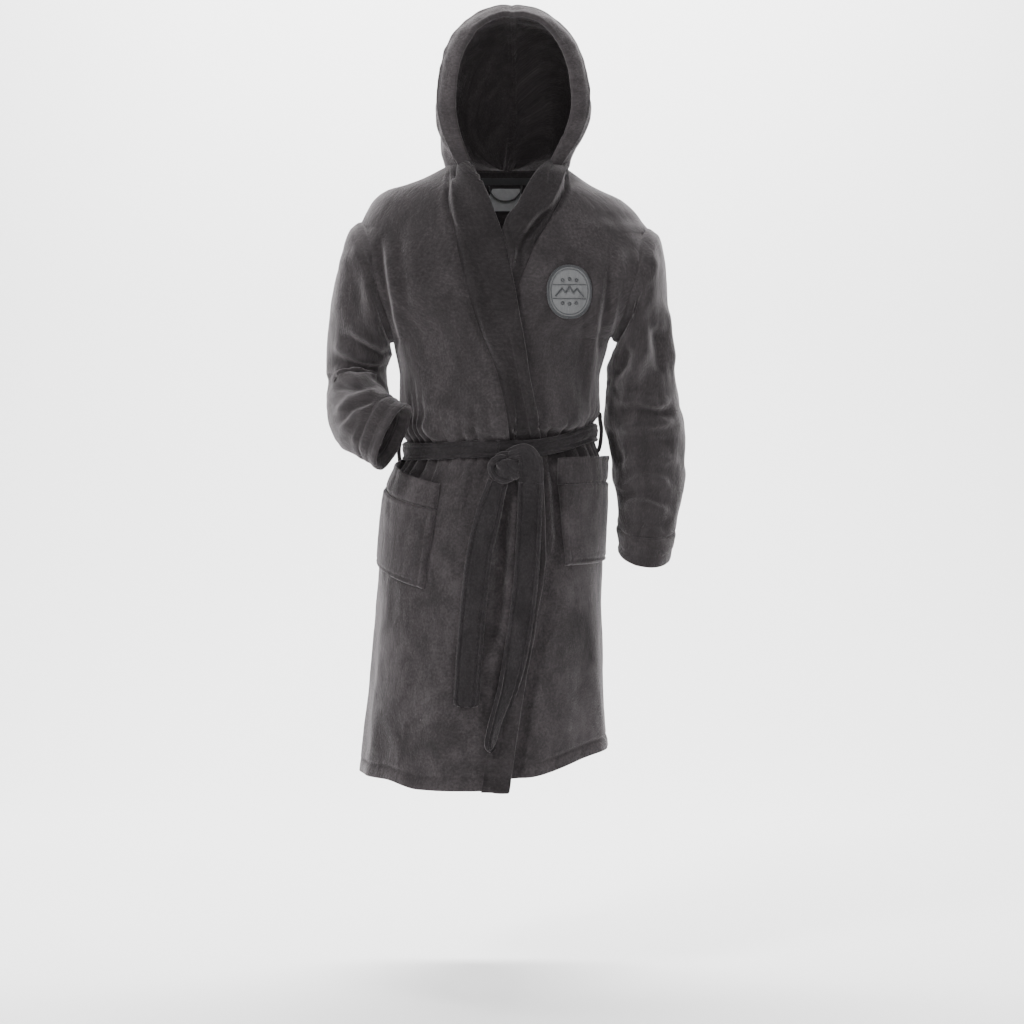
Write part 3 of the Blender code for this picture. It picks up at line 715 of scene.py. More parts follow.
# the belt's copy of the fleece has painted shade: its colour is darkened to 0.58 for the shade that lies on
# the belt and knot
FLEECE_BELT_PAINTED_SHADE = fleece("fleece_belt_painted_shade", light=0.58, tint=(1.0, 0.90, 0.95), streak=0.7, sheen=0.75)
TAPE = woven("cotton_tape", (0.028, 0.028, 0.030))
LABEL = woven("satin_label", (0.30, 0.30, 0.31), 1400, 0.45)
BADGE_LIGHT = satin_stitch("badge_silver", (0.095, 0.097, 0.100))
BADGE_DARK = satin_stitch("badge_slate", (0.012, 0.013, 0.016), (0, 1))

MADE = []


def take(thing, body, *nodes):
    if body:
        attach(thing, body)
    if nodes:
        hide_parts(*nodes)
    MADE.append(thing)
    return thing


# ------------------------------------------------------------------ trunk pieces
FOLD_LINE = curve([(0.012, 0.132), (-0.020, 0.119), (-0.047, 0.105), (-0.078, 0.088), (-0.104, 0.058),
                   (-0.142, 0.032), (-0.193, 0.015), (-0.250, -0.004)])


def hem_lift(points, extra=0.0):
    """The hem is drawn up towards the wearer's left, and that shoulder hangs a little lower."""
    x, z = points[..., 0], points[..., 2]
    lift = (0.045 + extra) * smooth(0.02, 0.215, x) + 0.014 * smooth(-0.165, -0.230, x)
    slope = smooth(0.07, 0.20, np.abs(x)) * smooth(-0.126, -0.085, z)
    drop = np.where(x > 0, -0.011, 0.004) * slope
    drop = drop + np.where(x < 0, 0.012, 0.0) * smooth(0.185, 0.262, np.abs(x)) * smooth(-0.200, -0.135, z)
    points[..., 2] = z + lift * smooth(-0.78, -1.16, z) + drop
    return points


def hem_roll(z, low):
    """The turned-up hem: a stitched groove with a fuller edge below it."""
    d = z - low
    edge = 0.0030 * smooth(0.021, 0.012, d)
    return -0.0034 * bump(d, 0.022, 0.0026) + edge + 0.0012 * bump(d, 0.030, 0.005)


def seam_dip(d, deep=0.0020, wide=0.0030):
    """The cloth dips where it is sewn to the next piece, with a soft welt beside it."""
    return -deep * np.exp(-((d / wide) ** 2)) + 0.45 * deep * bump(d, 2.6 * wide, 1.6 * wide)


def build_trunk():
    rows = rows_for(HEM_Z)
    under_rows = rows_for(UNDER_HEM_Z)

    # back
    start, end = side_angle(rows, 1, True), side_angle(rows, -1, True) + TAU
    grid, angle, z = face_grid(start, end, rows, 150, front=False)
    n = normals_of(grid, False, TRUNK_HUB)
    gap = np.minimum(angle - start[:, None], end[:, None] - angle) * ROUND
    sewn = seam_dip(gap, 0.0012) * near_armhole(grid[..., 0], z)
    grid += n * (hem_roll(z, HEM_Z) * smooth(-0.01, 0.05, gap) + sewn)[..., None]
    grid[..., 1] += 0.0006
    back = shell("back_panel", hem_lift(grid, 0.020), nap=(angle * ROUND + 3, z), material=FLEECE)
    take(back, "trunk", "back_panel")

    # wearer's right front, on top
    start = side_angle(rows, -1)
    seam = angle_at(OVER_SEAM(rows) - 0.0006, rows)
    end = np.maximum(seam, start + 0.02)
    grid, angle, z = face_grid(start, end, rows, 84)
    n = normals_of(grid, False, TRUNK_HUB)
    d_seam = (end[:, None] - angle) * ROUND
    d_side = (angle - start[:, None]) * ROUND
    shape = hem_roll(z, HEM_Z) * smooth(-0.01, 0.05, d_side)
    shape = shape + seam_dip(d_seam, 0.0040, 0.0034) * smooth(0.0, -0.03, z)
    shape = shape + seam_dip(d_side, 0.0012) * near_armhole(grid[..., 0], z)
    grid += n * shape[..., None]
    grid[..., 1] -= 0.0006
    piece = shell("right_front_panel", hem_lift(grid), nap=(angle * ROUND, z), material=FLEECE)
    take(piece, "trunk", "right_front_panel")

    # its facing band, with a rolled free edge that carries on into the hood's edge
    band_rows = np.concatenate([rows[:-1], [HEM_Z - 0.002]])
    start = angle_at(OVER_SEAM(band_rows), band_rows)
    end = angle_at(OVER_EDGE(band_rows), band_rows)
    grid, angle, z = face_grid(start, end, band_rows, 46)
    n = normals_of(grid, False, TRUNK_HUB)
    d_seam = (angle - start[:, None]) * ROUND_BAND
    d_edge = (end[:, None] - angle) * ROUND_BAND
    neck = smooth(-0.23, -0.06, z)
    join = smooth(SEAM_Z - 0.030, SEAM_Z, z)
    high = 0.0048 + (0.0075 - 0.0048 * join) * neck
    wide = 0.011 + 0.023 * neck
    roll = high * np.sqrt(np.clip(1 - ((d_edge - wide * 0.42) / wide) ** 2, 0, 1)) ** 1.2
    shape = seam_dip(d_seam, 0.0040, 0.0034) + 0.0034 * bump(d_seam, 0.0070, 0.0038)
    shape = shape * smooth(0.0, -0.03, z) - 0.0060 * neck * bump(d_seam, 0.022, 0.011) * smooth(0.0, -0.03, z)
    shape = shape + 0.0012 * bump(d_seam, 0.030, 0.006) * (1 - neck)
    shape = shape - 0.0015 * bump(d_edge, 0.017, 0.006) * (1 - neck)
    shape = shape + hem_roll(z, HEM_Z) + 0.0008 * layered(d_seam / 0.012, z / 0.11, 71)
    grid += n * (shape + roll)[..., None]
    thick = CLOTH * 1.3 + roll * 0.8 * smooth(SEAM_Z, SEAM_Z - 0.022, z)
    grid[..., 1] -= 0.0010
    piece = shell("right_front_band", hem_lift(grid), thick, nap=(d_seam + 1, z), material=FLEECE_BAND_PAINTED_SHADE)
    take(piece, "trunk", "right_front_band")

    # wearer's left front, underneath
    start = angle_at(UNDER_SEAM(under_rows) + 0.0015, under_rows)
    end = side_angle(under_rows, 1)
    start = np.minimum(start, end - 0.02)
    grid, angle, z = face_grid(start, end, under_rows, 112, under=True)
    n = normals_of(grid, False, TRUNK_HUB)
    d_seam = (angle - start[:, None]) * ROUND
    d_side = (end[:, None] - angle) * ROUND
    grid += n * (hem_roll(z, UNDER_HEM_Z) * smooth(-0.01, 0.05, d_side) + seam_dip(d_seam, 0.0036, 0.0034)
                 + seam_dip(d_side, 0.0012) * near_armhole(grid[..., 0], z))[..., None]
    grid[..., 1] -= 0.0006
    piece = shell("left_front_panel", hem_lift(grid), nap=(angle * ROUND + 5, z), material=FLEECE)
    take(piece, "trunk", "left_front_panel")

    # its band: a rolled lapel that stands off the strip beside the seam
    start = angle_at(UNDER_EDGE(under_rows), under_rows)
    end = np.maximum(angle_at(UNDER_SEAM(under_rows), under_rows), start + 0.02)
    grid, angle, z = face_grid(start, end, under_rows, 56, under=True)
    x = grid[..., 0]
    n = normals_of(grid, False, TRUNK_HUB)
    d_seam = (end[:, None] - angle) * ROUND
    d_edge = (angle - start[:, None]) * ROUND
    shown = smooth(-0.31, -0.16, z) * smooth(0.0, 0.020, x - OVER_EDGE(z) + 0.006)
    fold = FOLD_LINE(z)
    lapel = smooth(fold + 0.0045, fold - 0.0035, x)
    crown = np.sqrt(np.clip(1 - ((fold - 0.018 - x) / 0.052) ** 2, 0.15, 1))
    lift = (0.0150 - 0.0075 * smooth(SEAM_Z - 0.030, SEAM_Z, z)) * lapel * crown * shown
    lift = lift * smooth(0.0, 0.010, d_seam)
    valley = -0.0045 * bump(x, fold + 0.008, 0.009) * shown
    roll = 0.0050 * np.sqrt(np.clip(1 - ((d_edge - 0.010) / 0.020) ** 2, 0, 1)) * shown
    shape = seam_dip(d_seam, 0.0036, 0.0034) + 0.0030 * bump(d_seam, 0.0072, 0.0038)
    shape = shape + hem_roll(z, UNDER_HEM_Z)
    grid += n * (shape + lift + valley + roll)[..., None]
    grid[..., 1] -= 0.0006
    thick = CLOTH + (0.9 * roll + 0.3 * lift) * smooth(SEAM_Z, SEAM_Z - 0.022, z)
    piece = shell("left_front_band", hem_lift(grid), thick, nap=(d_edge + 9, z), material=FLEECE_BAND_PAINTED_SHADE)
    take(piece, "trunk", "left_front_band")


# ------------------------------------------------------------------ hood
NECK_RIM = (0.070, 0.083)
HOOD_MID = curve([(0.0, 0.003), (0.12, 0.016), (0.30, 0.012)])
SEAM_Y = curve([(0.0, -0.130), (0.115, -0.096), (0.28, -0.040), (0.43, 0.025), (0.57, 0.083), (0.72, 0.122),
                (0.87, 0.128), (1.0, 0.099)])
SEAM_H = curve([(0.0, 0.272), (0.115, 0.2885), (0.28, 0.298), (0.43, 0.289), (0.57, 0.255), (0.72, 0.188),
                (0.87, 0.098), (1.0, 0.010)])
HOOD_WIDE = curve([(0.0, 0.113), (0.05, 0.133), (0.115, 0.1415), (0.25, 0.1445), (0.42, 0.1440),
                   (0.60, 0.136), (0.75, 0.117), (0.88, 0.080), (0.96, 0.036), (1.0, 0.001)])
HOOD_HUB = (0.016, 0.010, 0.140)
HOOD_SPLIT = 0.115


def hood_arch(phi, psi, side):
    """A point on half the hood: phi runs from face edge to nape, psi from neck to centre seam."""
    phi, psi = np.broadcast_arrays(np.asarray(phi, float), np.asarray(psi, float))
    rim = NECK_RIM[0] if side < 0 else NECK_RIM[1]
    first = math.pi - float(angle_at(np.array([rim + 0.003]), np.array([SEAM_Z]))[0])
    share = np.clip(phi, 0, 1)
    turn = math.pi - first + (math.pi - (math.pi - first)) * share**1.06
    base = trunk(side * turn, SEAM_Z)
    nx, ny = np.abs(base[..., 0] - 0.003), base[..., 1]
    low = -0.62
    alpha = low * (1 - psi) ** 1.2 + (math.pi / 2) * (1 - (1 - psi) ** 1.2)
    top_y, top_z, wide = SEAM_Y(phi), SEAM_H(phi), HOOD_WIDE(phi)
    lift = (np.sin(alpha) - math.sin(low)) / (1 - math.sin(low))
    up = np.cos(np.clip(alpha, 0, None))
    down = 1 - np.clip(np.sin(-np.clip(alpha, None, 0)) / math.sin(-low), 0, 1) ** 1.6
    x = np.where(alpha > 0, wide * np.abs(up) ** 0.86, nx + (wide - nx) * down)
    height = SEAM_Z + (top_z - SEAM_Z) * lift**0.94
    # the face edge leans forward as it rises, the back bulges out behind the head
    y = ny + (top_y - ny) * smooth(0, 1, lift) ** (0.85 - 0.2 * phi)
    y = y + 0.016 * np.sin(math.pi * lift) * smooth(0.35, 0.9, phi)
    y = y - 0.012 * np.sin(math.pi * np.clip(lift * 1.2, 0, 1)) * (1 - smooth(0, 0.35, phi))
    return np.stack([HOOD_MID(height) + side * x, y, height], -1)


def hood_folds(points, phi, psi, side):
    x, y, z = points[..., 0], points[..., 1], points[..., 2]
    d = 0.0028 * layered(y / 0.075 + side, z / 0.080, 31)
    d = d + 0.0009 * noise(y / 0.018 + 3 * side, z / 0.024, 37)
    pleat = np.cos(phi * 21 + 1.3 * side + 0.8 * noise(phi * 4, z / 0.1, 33))
    d = d + 0.0026 * pleat * smooth(0.16, 0.02, z) * smooth(0.12, 0.3, phi)
    d = d + ridge(y, z, [(-0.05, 0.02), (-0.02, 0.09), (0.02, 0.16)], 0.005, 0.013)
    d = d - ridge(y, z, [(-0.02, 0.02), (0.01, 0.08), (0.06, 0.14)], 0.004, 0.010)
    d = d + ridge(y, z, [(0.00, 0.24), (0.06, 0.20), (0.10, 0.12)], 0.0035, 0.016)
    d = d * smooth(0, 0.03, z - SEAM_Z) * smooth(0, 0.10, 1 - psi)
    return d


def build_hood():
    psi = np.linspace(0, 1, 110)[:, None]
    phi = np.linspace(HOOD_SPLIT - 0.014, 1.0, 98)[None, :]
    for side, name in ((-1, "hood_right_panel"), (1, "hood_left_panel")):
        grid = hood_arch(phi, psi, side)
        n = normals_of(grid, False, HOOD_HUB)
        seam = np.abs(grid[..., 0] - HOOD_MID(grid[..., 2]))
        d = hood_folds(grid, phi, psi, side) * smooth(HOOD_SPLIT, HOOD_SPLIT + 0.05, phi)
        d = d - 0.0030 * smooth(HOOD_SPLIT + 0.008, HOOD_SPLIT - 0.004, phi)
        d = d + seam_dip(seam * smooth(0.5, 0.7, psi) + 1 - smooth(0.5, 0.7, psi), 0.0026, 0.004)
        d = d + seam_dip((phi - HOOD_SPLIT) * 0.35, 0.0020)
        d = d + seam_dip(grid[..., 2] - SEAM_Z, 0.0014) * 0.5
        grid = grid + n * d[..., None]
        grid[..., 0] += side * 0.0007
        piece = shell(name, grid, CLOTH * 1.1, hub=HOOD_HUB, material=FLEECE_HOOD_PAINTED_LIGHT)
        MADE.append(piece)
        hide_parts(name)
        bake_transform(piece)

    # the doubled edge round the face, with a full rolled rim
    arch = np.linspace(0, 1, 120)
    phi = HOOD_SPLIT * np.linspace(0, 1, 26)[None, :] ** 1.0
    right = hood_arch(phi, arch[:, None], -1)
    left = hood_arch(phi, arch[::-1][:, None], 1)
    grid = np.vstack([right[:-1], (right[-1:] + left[:1]) / 2, left[1:]])
    n = normals_of(grid, False, HOOD_HUB)
    steps = np.linalg.norm(np.diff(grid, axis=1), axis=2)
    across = np.concatenate([np.zeros((len(grid), 1)), np.cumsum(steps, 1)], 1)
    along = np.concatenate([[0], np.cumsum(np.linalg.norm(np.diff(grid[:, 0], axis=0), axis=1))])[:, None]
    wide = across[:, -1:]
    roll = 0.0080 * np.sqrt(np.clip(1 - ((across - 0.012) / (wide * 0.80)) ** 2, 0, 1)) ** 1.1
    wave = 0.0022 * layered(along / 0.060, across / 0.05, 41)
    wave = wave + 0.0009 * noise(along / 0.014, across / 0.02, 44)
    shape = roll + wave + seam_dip(wide - across, 0.0022) + 0.0016 * bump(wide - across, 0.006, 0.003)
    mid = (len(grid) - 1) / 2
    peak = np.exp(-(((np.arange(len(grid)) - mid) / 3.0) ** 2))[:, None]
    shape = shape - 0.0020 * peak
    rim = n * 0
    rim[..., 1] = -1
    lean = (0.0060 * noise(along / 0.085, 0.0 * along, 47) * smooth(0.03, 0.0, across))[..., None]
    grid = grid + n * shape[..., None] + rim * lean
    nap = (along + 0 * across, across + 2)
    thick = 0.0070 + 0.6 * roll
    piece = shell("hood_edge_band", grid, thick, hub=HOOD_HUB, nap=nap, material=FLEECE_HOOD_PAINTED_LIGHT, roll=8)
    MADE.append(piece)
    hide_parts("hood_edge_band")
    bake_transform(piece)


# ------------------------------------------------------------------ sleeves
def unit(v):
    v = np.asarray(v, float)
    return v / np.maximum(np.linalg.norm(v, axis=-1, keepdims=True), 1e-12)


def tube(stations, rows, cols, form=2.15):
    """Rings of points through stations (outer point, inner point, half size across, forward direction)."""
    outer = np.array([s[0] for s in stations], float)
    inner = np.array([s[1] for s in stations], float)
    half = np.array([s[2] for s in stations], float)
    ahead = np.array([s[3] for s in stations], float)
    middle = (outer + inner) / 2
    step = np.linalg.norm(np.diff(middle, axis=0), axis=1)
    step = step + 0.3 * np.linalg.norm(np.diff(outer, axis=0), axis=1)
    t = np.concatenate([[0], np.cumsum(step)])
    share = np.linspace(0, 1, rows)
    at = t[-1] * (0.5 * share**2 + 0.5 * share)
    col = lambda arr: np.stack([curve(list(zip(t, arr[:, k])))(at) for k in range(arr.shape[1])], -1)
    o, i, a = col(outer), col(inner), unit(col(ahead))
    h = curve(list(zip(t, half)))(at)
    c, reach = (o + i) / 2, (o - i) / 2
    size = np.linalg.norm(reach, axis=1)
    up = reach / size[:, None]
    a = unit(a - up * np.sum(a * up, 1)[:, None])
    theta = np.linspace(0, TAU, cols, endpoint=False)
    cs, sn = np.cos(theta), np.sin(theta)
    cs = np.sign(cs) * np.abs(cs) ** (2 / form)
    sn = np.sign(sn) * np.abs(sn) ** (2 / form)
    grid = c[:, None] + up[:, None] * (size[:, None] * cs)[..., None]
    grid = grid + a[:, None] * (h[:, None] * sn)[..., None]
    return grid, theta


def tube_normals(grid):
    du = np.roll(grid, -1, 1) - np.roll(grid, 1, 1)
    dv = np.gradient(grid, axis=0)
    n = unit(np.cross(du, dv))
    out = grid - grid.mean(1, keepdims=True)
    if np.sum(n * out) < 0:
        n = -n
    return n


def sleeve_nap(grid, theta, offset):
    steps = np.linalg.norm(np.diff(grid, axis=0), axis=2)
    v = np.concatenate([np.zeros((1, grid.shape[1])), np.cumsum(steps, 0)], 0)
    wave = np.abs(((theta / TAU) * 2) % 2 - 1)
    return np.broadcast_to(wave[None, :] * 0.30 + offset, v.shape), v


RING_MID = (0.244, -0.228)
RING_OUT = (0.943, -0.333)
SLEEVE_HEAD = [
    (-0.020, 0.1150, 0.0985, 0.0980), (-0.012, 0.1235, 0.1000, 0.1000), (-0.006, 0.1245, 0.1010, 0.1015),
    (0.000, 0.1235, 0.1070, 0.1075), (0.006, 0.1215, 0.1085, 0.1105), (0.014, 0.1185, 0.1085, 0.1110),
]


def sleeve_head(side, lower):
    """Rings from inside the armhole to just outside it. The cap covers the edge of the shoulder."""
    stations = []
    for along, top, low, half in SLEEVE_HEAD:
        top = top - lower
        x, z = RING_MID[0] + RING_OUT[0] * along, RING_MID[1] + RING_OUT[1] * along
        outer = (side * (x - RING_OUT[1] * top), 0.0, z + RING_OUT[0] * top)
        inner = (side * (x + RING_OUT[1] * low), 0.0, z - RING_OUT[0] * low)
        stations.append((outer, inner, half, (0, -1, 0)))
    return stations


LEFT_ARM = sleeve_head(1, 0.0055) + [
    ((0.3085, 0.0, -0.1800), (0.2060, 0.0, -0.3530), 0.1035, (0, -1, 0)),
    ((0.3130, 0.004, -0.270), (0.2000, 0.004, -0.376), 0.0920, (0, -1, 0)),
    ((0.3240, 0.010, -0.350), (0.1970, 0.010, -0.408), 0.0860, (0, -1, -0.05)),
    ((0.3390, 0.018, -0.446), (0.1960, 0.018, -0.446), 0.0820, (0, -1, -0.1)),
    ((0.3460, 0.022, -0.488), (0.1955, 0.022, -0.488), 0.0810, (0, -1, -0.18)),
    ((0.3480, 0.024, -0.540), (0.2015, 0.020, -0.545), 0.0780, (0, -1, -0.25)),
    ((0.3430, 0.004, -0.620), (0.2120, 0.000, -0.620), 0.0730, (0, -1, -0.3)),
    ((0.3290, -0.022, -0.690), (0.2160, -0.024, -0.684), 0.0690, (0, -1, -0.3)),
]
LEFT_END = [
    ((0.3290, -0.0225, -0.6912), (0.2160, -0.0245, -0.6852), 0.0690, (0, -1, -0.3)),
    ((0.3260, -0.028, -0.712), (0.2165, -0.030, -0.706), 0.0695, (0, -1, -0.3)),
    ((0.3140, -0.037, -0.745), (0.2190, -0.039, -0.732), 0.0680, (0, -1, -0.3)),
]
LEFT_FOLDS = [
    ([(0.261, -0.290), (0.262, -0.350), (0.245, -0.395), (0.212, -0.425)], 0.0120, 0.0115),
    ([(0.284, -0.300), (0.294, -0.350), (0.300, -0.400)], -0.0090, 0.0110),
    ([(0.312, -0.250), (0.318, -0.330), (0.322, -0.390)], 0.0060, 0.0100),
    ([(0.236, -0.340), (0.228, -0.380), (0.205, -0.405)], -0.0070, 0.0080),
    ([(0.204, -0.446), (0.255, -0.440), (0.290, -0.452), (0.325, -0.440)], 0.0080, 0.0085),
    ([(0.205, -0.470), (0.260, -0.466), (0.330, -0.470)], -0.0060, 0.0075),
    ([(0.210, -0.502), (0.265, -0.494), (0.330, -0.480)], 0.0080, 0.0085),
    ([(0.212, -0.535), (0.270, -0.528), (0.335, -0.520)], -0.0055, 0.0085),
    ([(0.212, -0.572), (0.265, -0.556), (0.338, -0.560)], 0.0075, 0.0085),
    ([(0.205, -0.590), (0.232, -0.612), (0.266, -0.592), (0.300, -0.600), (0.325, -0.622)], 0.0075, 0.0080),
    ([(0.215, -0.632), (0.262, -0.620), (0.312, -0.642)], -0.0055, 0.0070),
    ([(0.220, -0.650), (0.268, -0.645), (0.322, -0.662)], 0.0060, 0.0080),
    ([(0.222, -0.676), (0.270, -0.674), (0.318, -0.688)], -0.0040, 0.0070),
    ([(0.197, -0.490), (0.210, -0.540), (0.226, -0.580)], -0.0070, 0.0080),
    ([(0.262, -0.150), (0.255, -0.220), (0.240, -0.300)], -0.0040, 0.0110),
    ([(0.285, -0.160), (0.282, -0.230), (0.276, -0.290)], 0.0040, 0.0110),
]
RIGHT_ARM = sleeve_head(-1, -0.0070) + [
    ((-0.3180, 0.004, -0.180), (-0.2190, 0.004, -0.349), 0.1030, (0, -1, 0)),
    ((-0.3390, 0.014, -0.270), (-0.2250, 0.018, -0.366), 0.0950, (0, -1, 0)),
    ((-0.3490, 0.032, -0.3885), (-0.2295, 0.032, -0.3885), 0.0865, (0, -1, 0)),
]
CROOK = (-0.2865, -0.054, -0.3900)
RIGHT_TURNS = [(12, 0.0858, 0.0573), (25, 0.085, 0.0575), (50, 0.081, 0.0570), (72, 0.076, 0.0560)]
# the forearm's rings past the elbow: centre, way it heads, up, half width, half height
RIGHT_REACH = [
    ((-0.2680, -0.080, -0.482), (0.55, -0.75, -0.37), (0.20, -0.15, 0.95), 0.0515, 0.0705),
    ((-0.2400, -0.112, -0.497), (0.80, -0.50, -0.35), (0.38, 0.0, 0.93), 0.0475, 0.0670),
]
RIGHT_END = ((-0.2110, -0.129, -0.514), (0.85, -0.35, -0.40), (0.40, 0.0, 0.915), 0.0455, 0.0660)


def ring_station(centre, heading, up, wide, half, slide=0.0):
    """A station square to the heading, moved along it by slide."""
    d = unit(heading)
    up = unit(np.asarray(up, float) - d * np.dot(up, d))
    right = np.cross(d, up)
    c = np.asarray(centre, float) + d * slide
    return tuple(c + right * wide), tuple(c - right * wide), half, tuple(up)


def right_arm():
    stations = list(RIGHT_ARM)
    for degrees, half, wide in RIGHT_TURNS:
        t = math.radians(degrees)
        ahead = (0.0, -math.cos(t), math.sin(t))
        mid = [CROOK[k] - ahead[k] * half for k in range(3)]
        stations.append(((mid[0] - wide, mid[1], mid[2]), (mid[0] + wide, mid[1], mid[2]), half, ahead))
    return stations + [ring_station(*ring) for ring in RIGHT_REACH]


def right_end():
    return [ring_station(*RIGHT_REACH[-1], slide=0.0010), ring_station(*RIGHT_END, slide=-0.010),
            ring_station(*RIGHT_END)]


RIGHT_FOLDS = [
    ([(-0.302, -0.300), (-0.265, -0.325), (-0.222, -0.348)], 0.0085, 0.0085),
    ([(-0.318, -0.318), (-0.270, -0.345), (-0.228, -0.366)], -0.0075, 0.0070),
    ([(-0.335, -0.335), (-0.280, -0.362), (-0.225, -0.376)], 0.0085, 0.0085),
    ([(-0.335, -0.362), (-0.280, -0.382), (-0.230, -0.388)], -0.0080, 0.0070),
    ([(-0.338, -0.388), (-0.285, -0.402), (-0.230, -0.398)], 0.0080, 0.0080),
    ([(-0.335, -0.412), (-0.285, -0.424), (-0.235, -0.408)], -0.0070, 0.0070),
    ([(-0.228, -0.425), (-0.290, -0.445), (-0.325, -0.480)], 0.0075, 0.0085),
    ([(-0.222, -0.455), (-0.280, -0.470), (-0.312, -0.510)], 0.0060, 0.0080),
    ([(-0.225, -0.440), (-0.280, -0.458), (-0.318, -0.495)], -0.0055, 0.0070),
    ([(-0.218, -0.485), (-0.262, -0.500), (-0.290, -0.535)], 0.0050, 0.0075),
    ([(-0.300, -0.150), (-0.310, -0.230), (-0.318, -0.300)], 0.0050, 0.0120),
    ([(-0.275, -0.170), (-0.280, -0.240), (-0.282, -0.300)], -0.0050, 0.0110),
    ([(-0.252, -0.190), (-0.252, -0.270), (-0.245, -0.330)], 0.0055, 0.0100),
]


def sleeve_depth(grid, n, theta, v, table, seed, creases, gain):
    x, y, z = grid[..., 0], grid[..., 1], grid[..., 2]
    facing = -n[..., 1]
    d = gain * folds(x, z, table) * smooth(0.0, 0.35, facing)
    around = np.abs(((theta / TAU) * 2) % 2 - 1)[None, :] * 0.30
    d = d + 0.0026 * layered(around / 0.080, v / 0.085, seed)
    d = d + 0.0009 * noise(around / 0.018, v / 0.025, seed + 5)
    for mid, size, wide, lean in creases:
        waver = 1.2 * noise(around / 0.09, v / 0.06, seed + 7)
        wave = np.cos((v - mid) / wide + lean * np.sin(theta)[None, :] + waver)
        d = d + size * wave * bump(v, mid, 2.6 * wide) * smooth(0.25, -0.25, facing)
    return d


def build_sleeves():
    jobs = (
        ("left", LEFT_ARM, LEFT_END, LEFT_FOLDS, 51,
         (0.2685, 0.018, -0.405), (0.2685, 0.020, -0.500),
         [(0.30, 0.0060, 0.020, 0.8), (0.42, 0.0050, 0.022, -0.6), (0.12, 0.0040, 0.030, 1.0)]),
        ("right", right_arm(), right_end(), RIGHT_FOLDS, 61,
         (-0.2865, 0.050, -0.355), (-0.2865, 0.010, -0.440),
         [(0.26, 0.0060, 0.020, 0.6), (0.36, 0.0050, 0.020, -0.8), (0.12, 0.0040, 0.030, 1.0)]),
    )
    for side, stations, end, table, seed, start, stop, creases in jobs:
        grid, theta = tube(stations, 190, 132)
        n = tube_normals(grid)
        nap = sleeve_nap(grid, theta, seed)
        v = nap[1].mean(1)[:, None] + 0 * nap[1]
        d = sleeve_depth(grid, n, theta, v, table, seed, creases, 1.0 if side == "left" else 0.72)
        d = d * smooth(0.016, 0.045, v) * smooth(0, 0.012, v[-1:] - v) + seam_dip(v[-1:] - v, 0.0020)
        grid = grid + n * d[..., None]
        name = side + "_sleeve"
        piece = shell(name, grid, CLOTH, wrap=True, hub=grid.reshape(-1, 3).mean(0), nap=nap, material=FLEECE)
        MADE.append(piece)
        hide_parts(side + "_sleeve_upper", side + "_sleeve_forearm")
        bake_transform(piece)

        grid, theta = tube(end, 30, 132)
        n = tube_normals(grid)
        nap = sleeve_nap(grid, theta, seed + 2)
        v = nap[1].mean(1)[:, None] + 0 * nap[1]
        left = v[-1:] - v
        d = 0.0016 * layered(np.abs(((theta / TAU) * 2) % 2 - 1)[None, :] * 0.3 / 0.06, v / 0.05, seed + 3)
        d = d + seam_dip(v, 0.0018) + 0.0022 * smooth(0.014, 0.004, left) - 0.0012 * bump(left, 0.018, 0.0024)
        grid = grid + n * d[..., None]
        hub = grid.reshape(-1, 3).mean(0)
        thick = CLOTH + 0.0018
        piece = shell(side + "_cuff", grid, thick, wrap=True, hub=hub, nap=nap, material=FLEECE, roll=6)
        take(piece, side + "_forearm", side + "_cuff")


# ------------------------------------------------------------------ pockets
def build_pockets():
    jobs = (
        ("right", -1, -0.560, -0.604, -0.122, -0.152, 0.196, 81),
        ("left", 1, -0.553, -0.556, 0.096, 0.114, 0.200, 83),
    )
    for side, sign, outer_top, inner_top, in_top, in_low, deep, seed in jobs:
        count = 64
        q = np.linspace(0, 1, count)[None, :]
        parts = ((side + "_pocket_band", 0.0, 0.046, 16), (side + "_pocket", 0.0478, deep, 52))
        for piece_name, first, last, rows in parts:
            down = np.linspace(first, last, rows)[:, None]
            top = outer_top + (inner_top - outer_top) * q
            z = top - down
            inner_x = in_top + (in_low - in_top) * down / deep
            a_in = angle_at(inner_x + 0 * z, z)
            a_out = sign * (math.pi / 2) * 0.97
            angle = a_out + (a_in - a_out) * q
            base = trunk(angle, z)
            n = normals_of(base, False, TRUNK_HUB)
            n[..., 2] *= 0.3
            n = unit(n)
            depth = fold_depth(angle, z, base[..., 0], True)
            fall = 1 - down / deep
            side_d = np.minimum(q, 1 - q) * 0.118
            slack = 0.015 * np.sin(math.pi * q) ** 0.7 * fall**1.2
            edge = 0.0062 * np.sqrt(np.clip(1 - (1 - np.clip(side_d / 0.005, 0, 1)) ** 2, 0, 1))
            low_d = deep - down
            edge = edge * np.sqrt(np.clip(1 - (1 - np.clip(low_d / 0.006, 0, 1)) ** 2, 0, 1))
            stitch = -0.0026 * bump(side_d, 0.0090, 0.0020) - 0.0024 * bump(low_d, 0.0090, 0.0020)
            soft = 0.0018 * layered(q * 3 + seed, z / 0.05, seed)
            mouth = 0.0026 * smooth(0.012, 0.002, down) - 0.0026 * bump(down, 0.0455, 0.0030)
            mouth = mouth + 0.0016 * bump(down, 0.052, 0.003)
            out = 0.35 * depth + 0.0018 + edge + slack + stitch + soft * fall + mouth
            if side == "left":
                out = out + 0.005 * bump(q, 0.14, 0.14) * smooth(0.05, 0.0, down)
            grid = base + n * out[..., None]
            piece = shell(piece_name, grid, 0.0034, nap=(angle * ROUND + seed, z), material=FLEECE)
            take(piece, "trunk", piece_name)


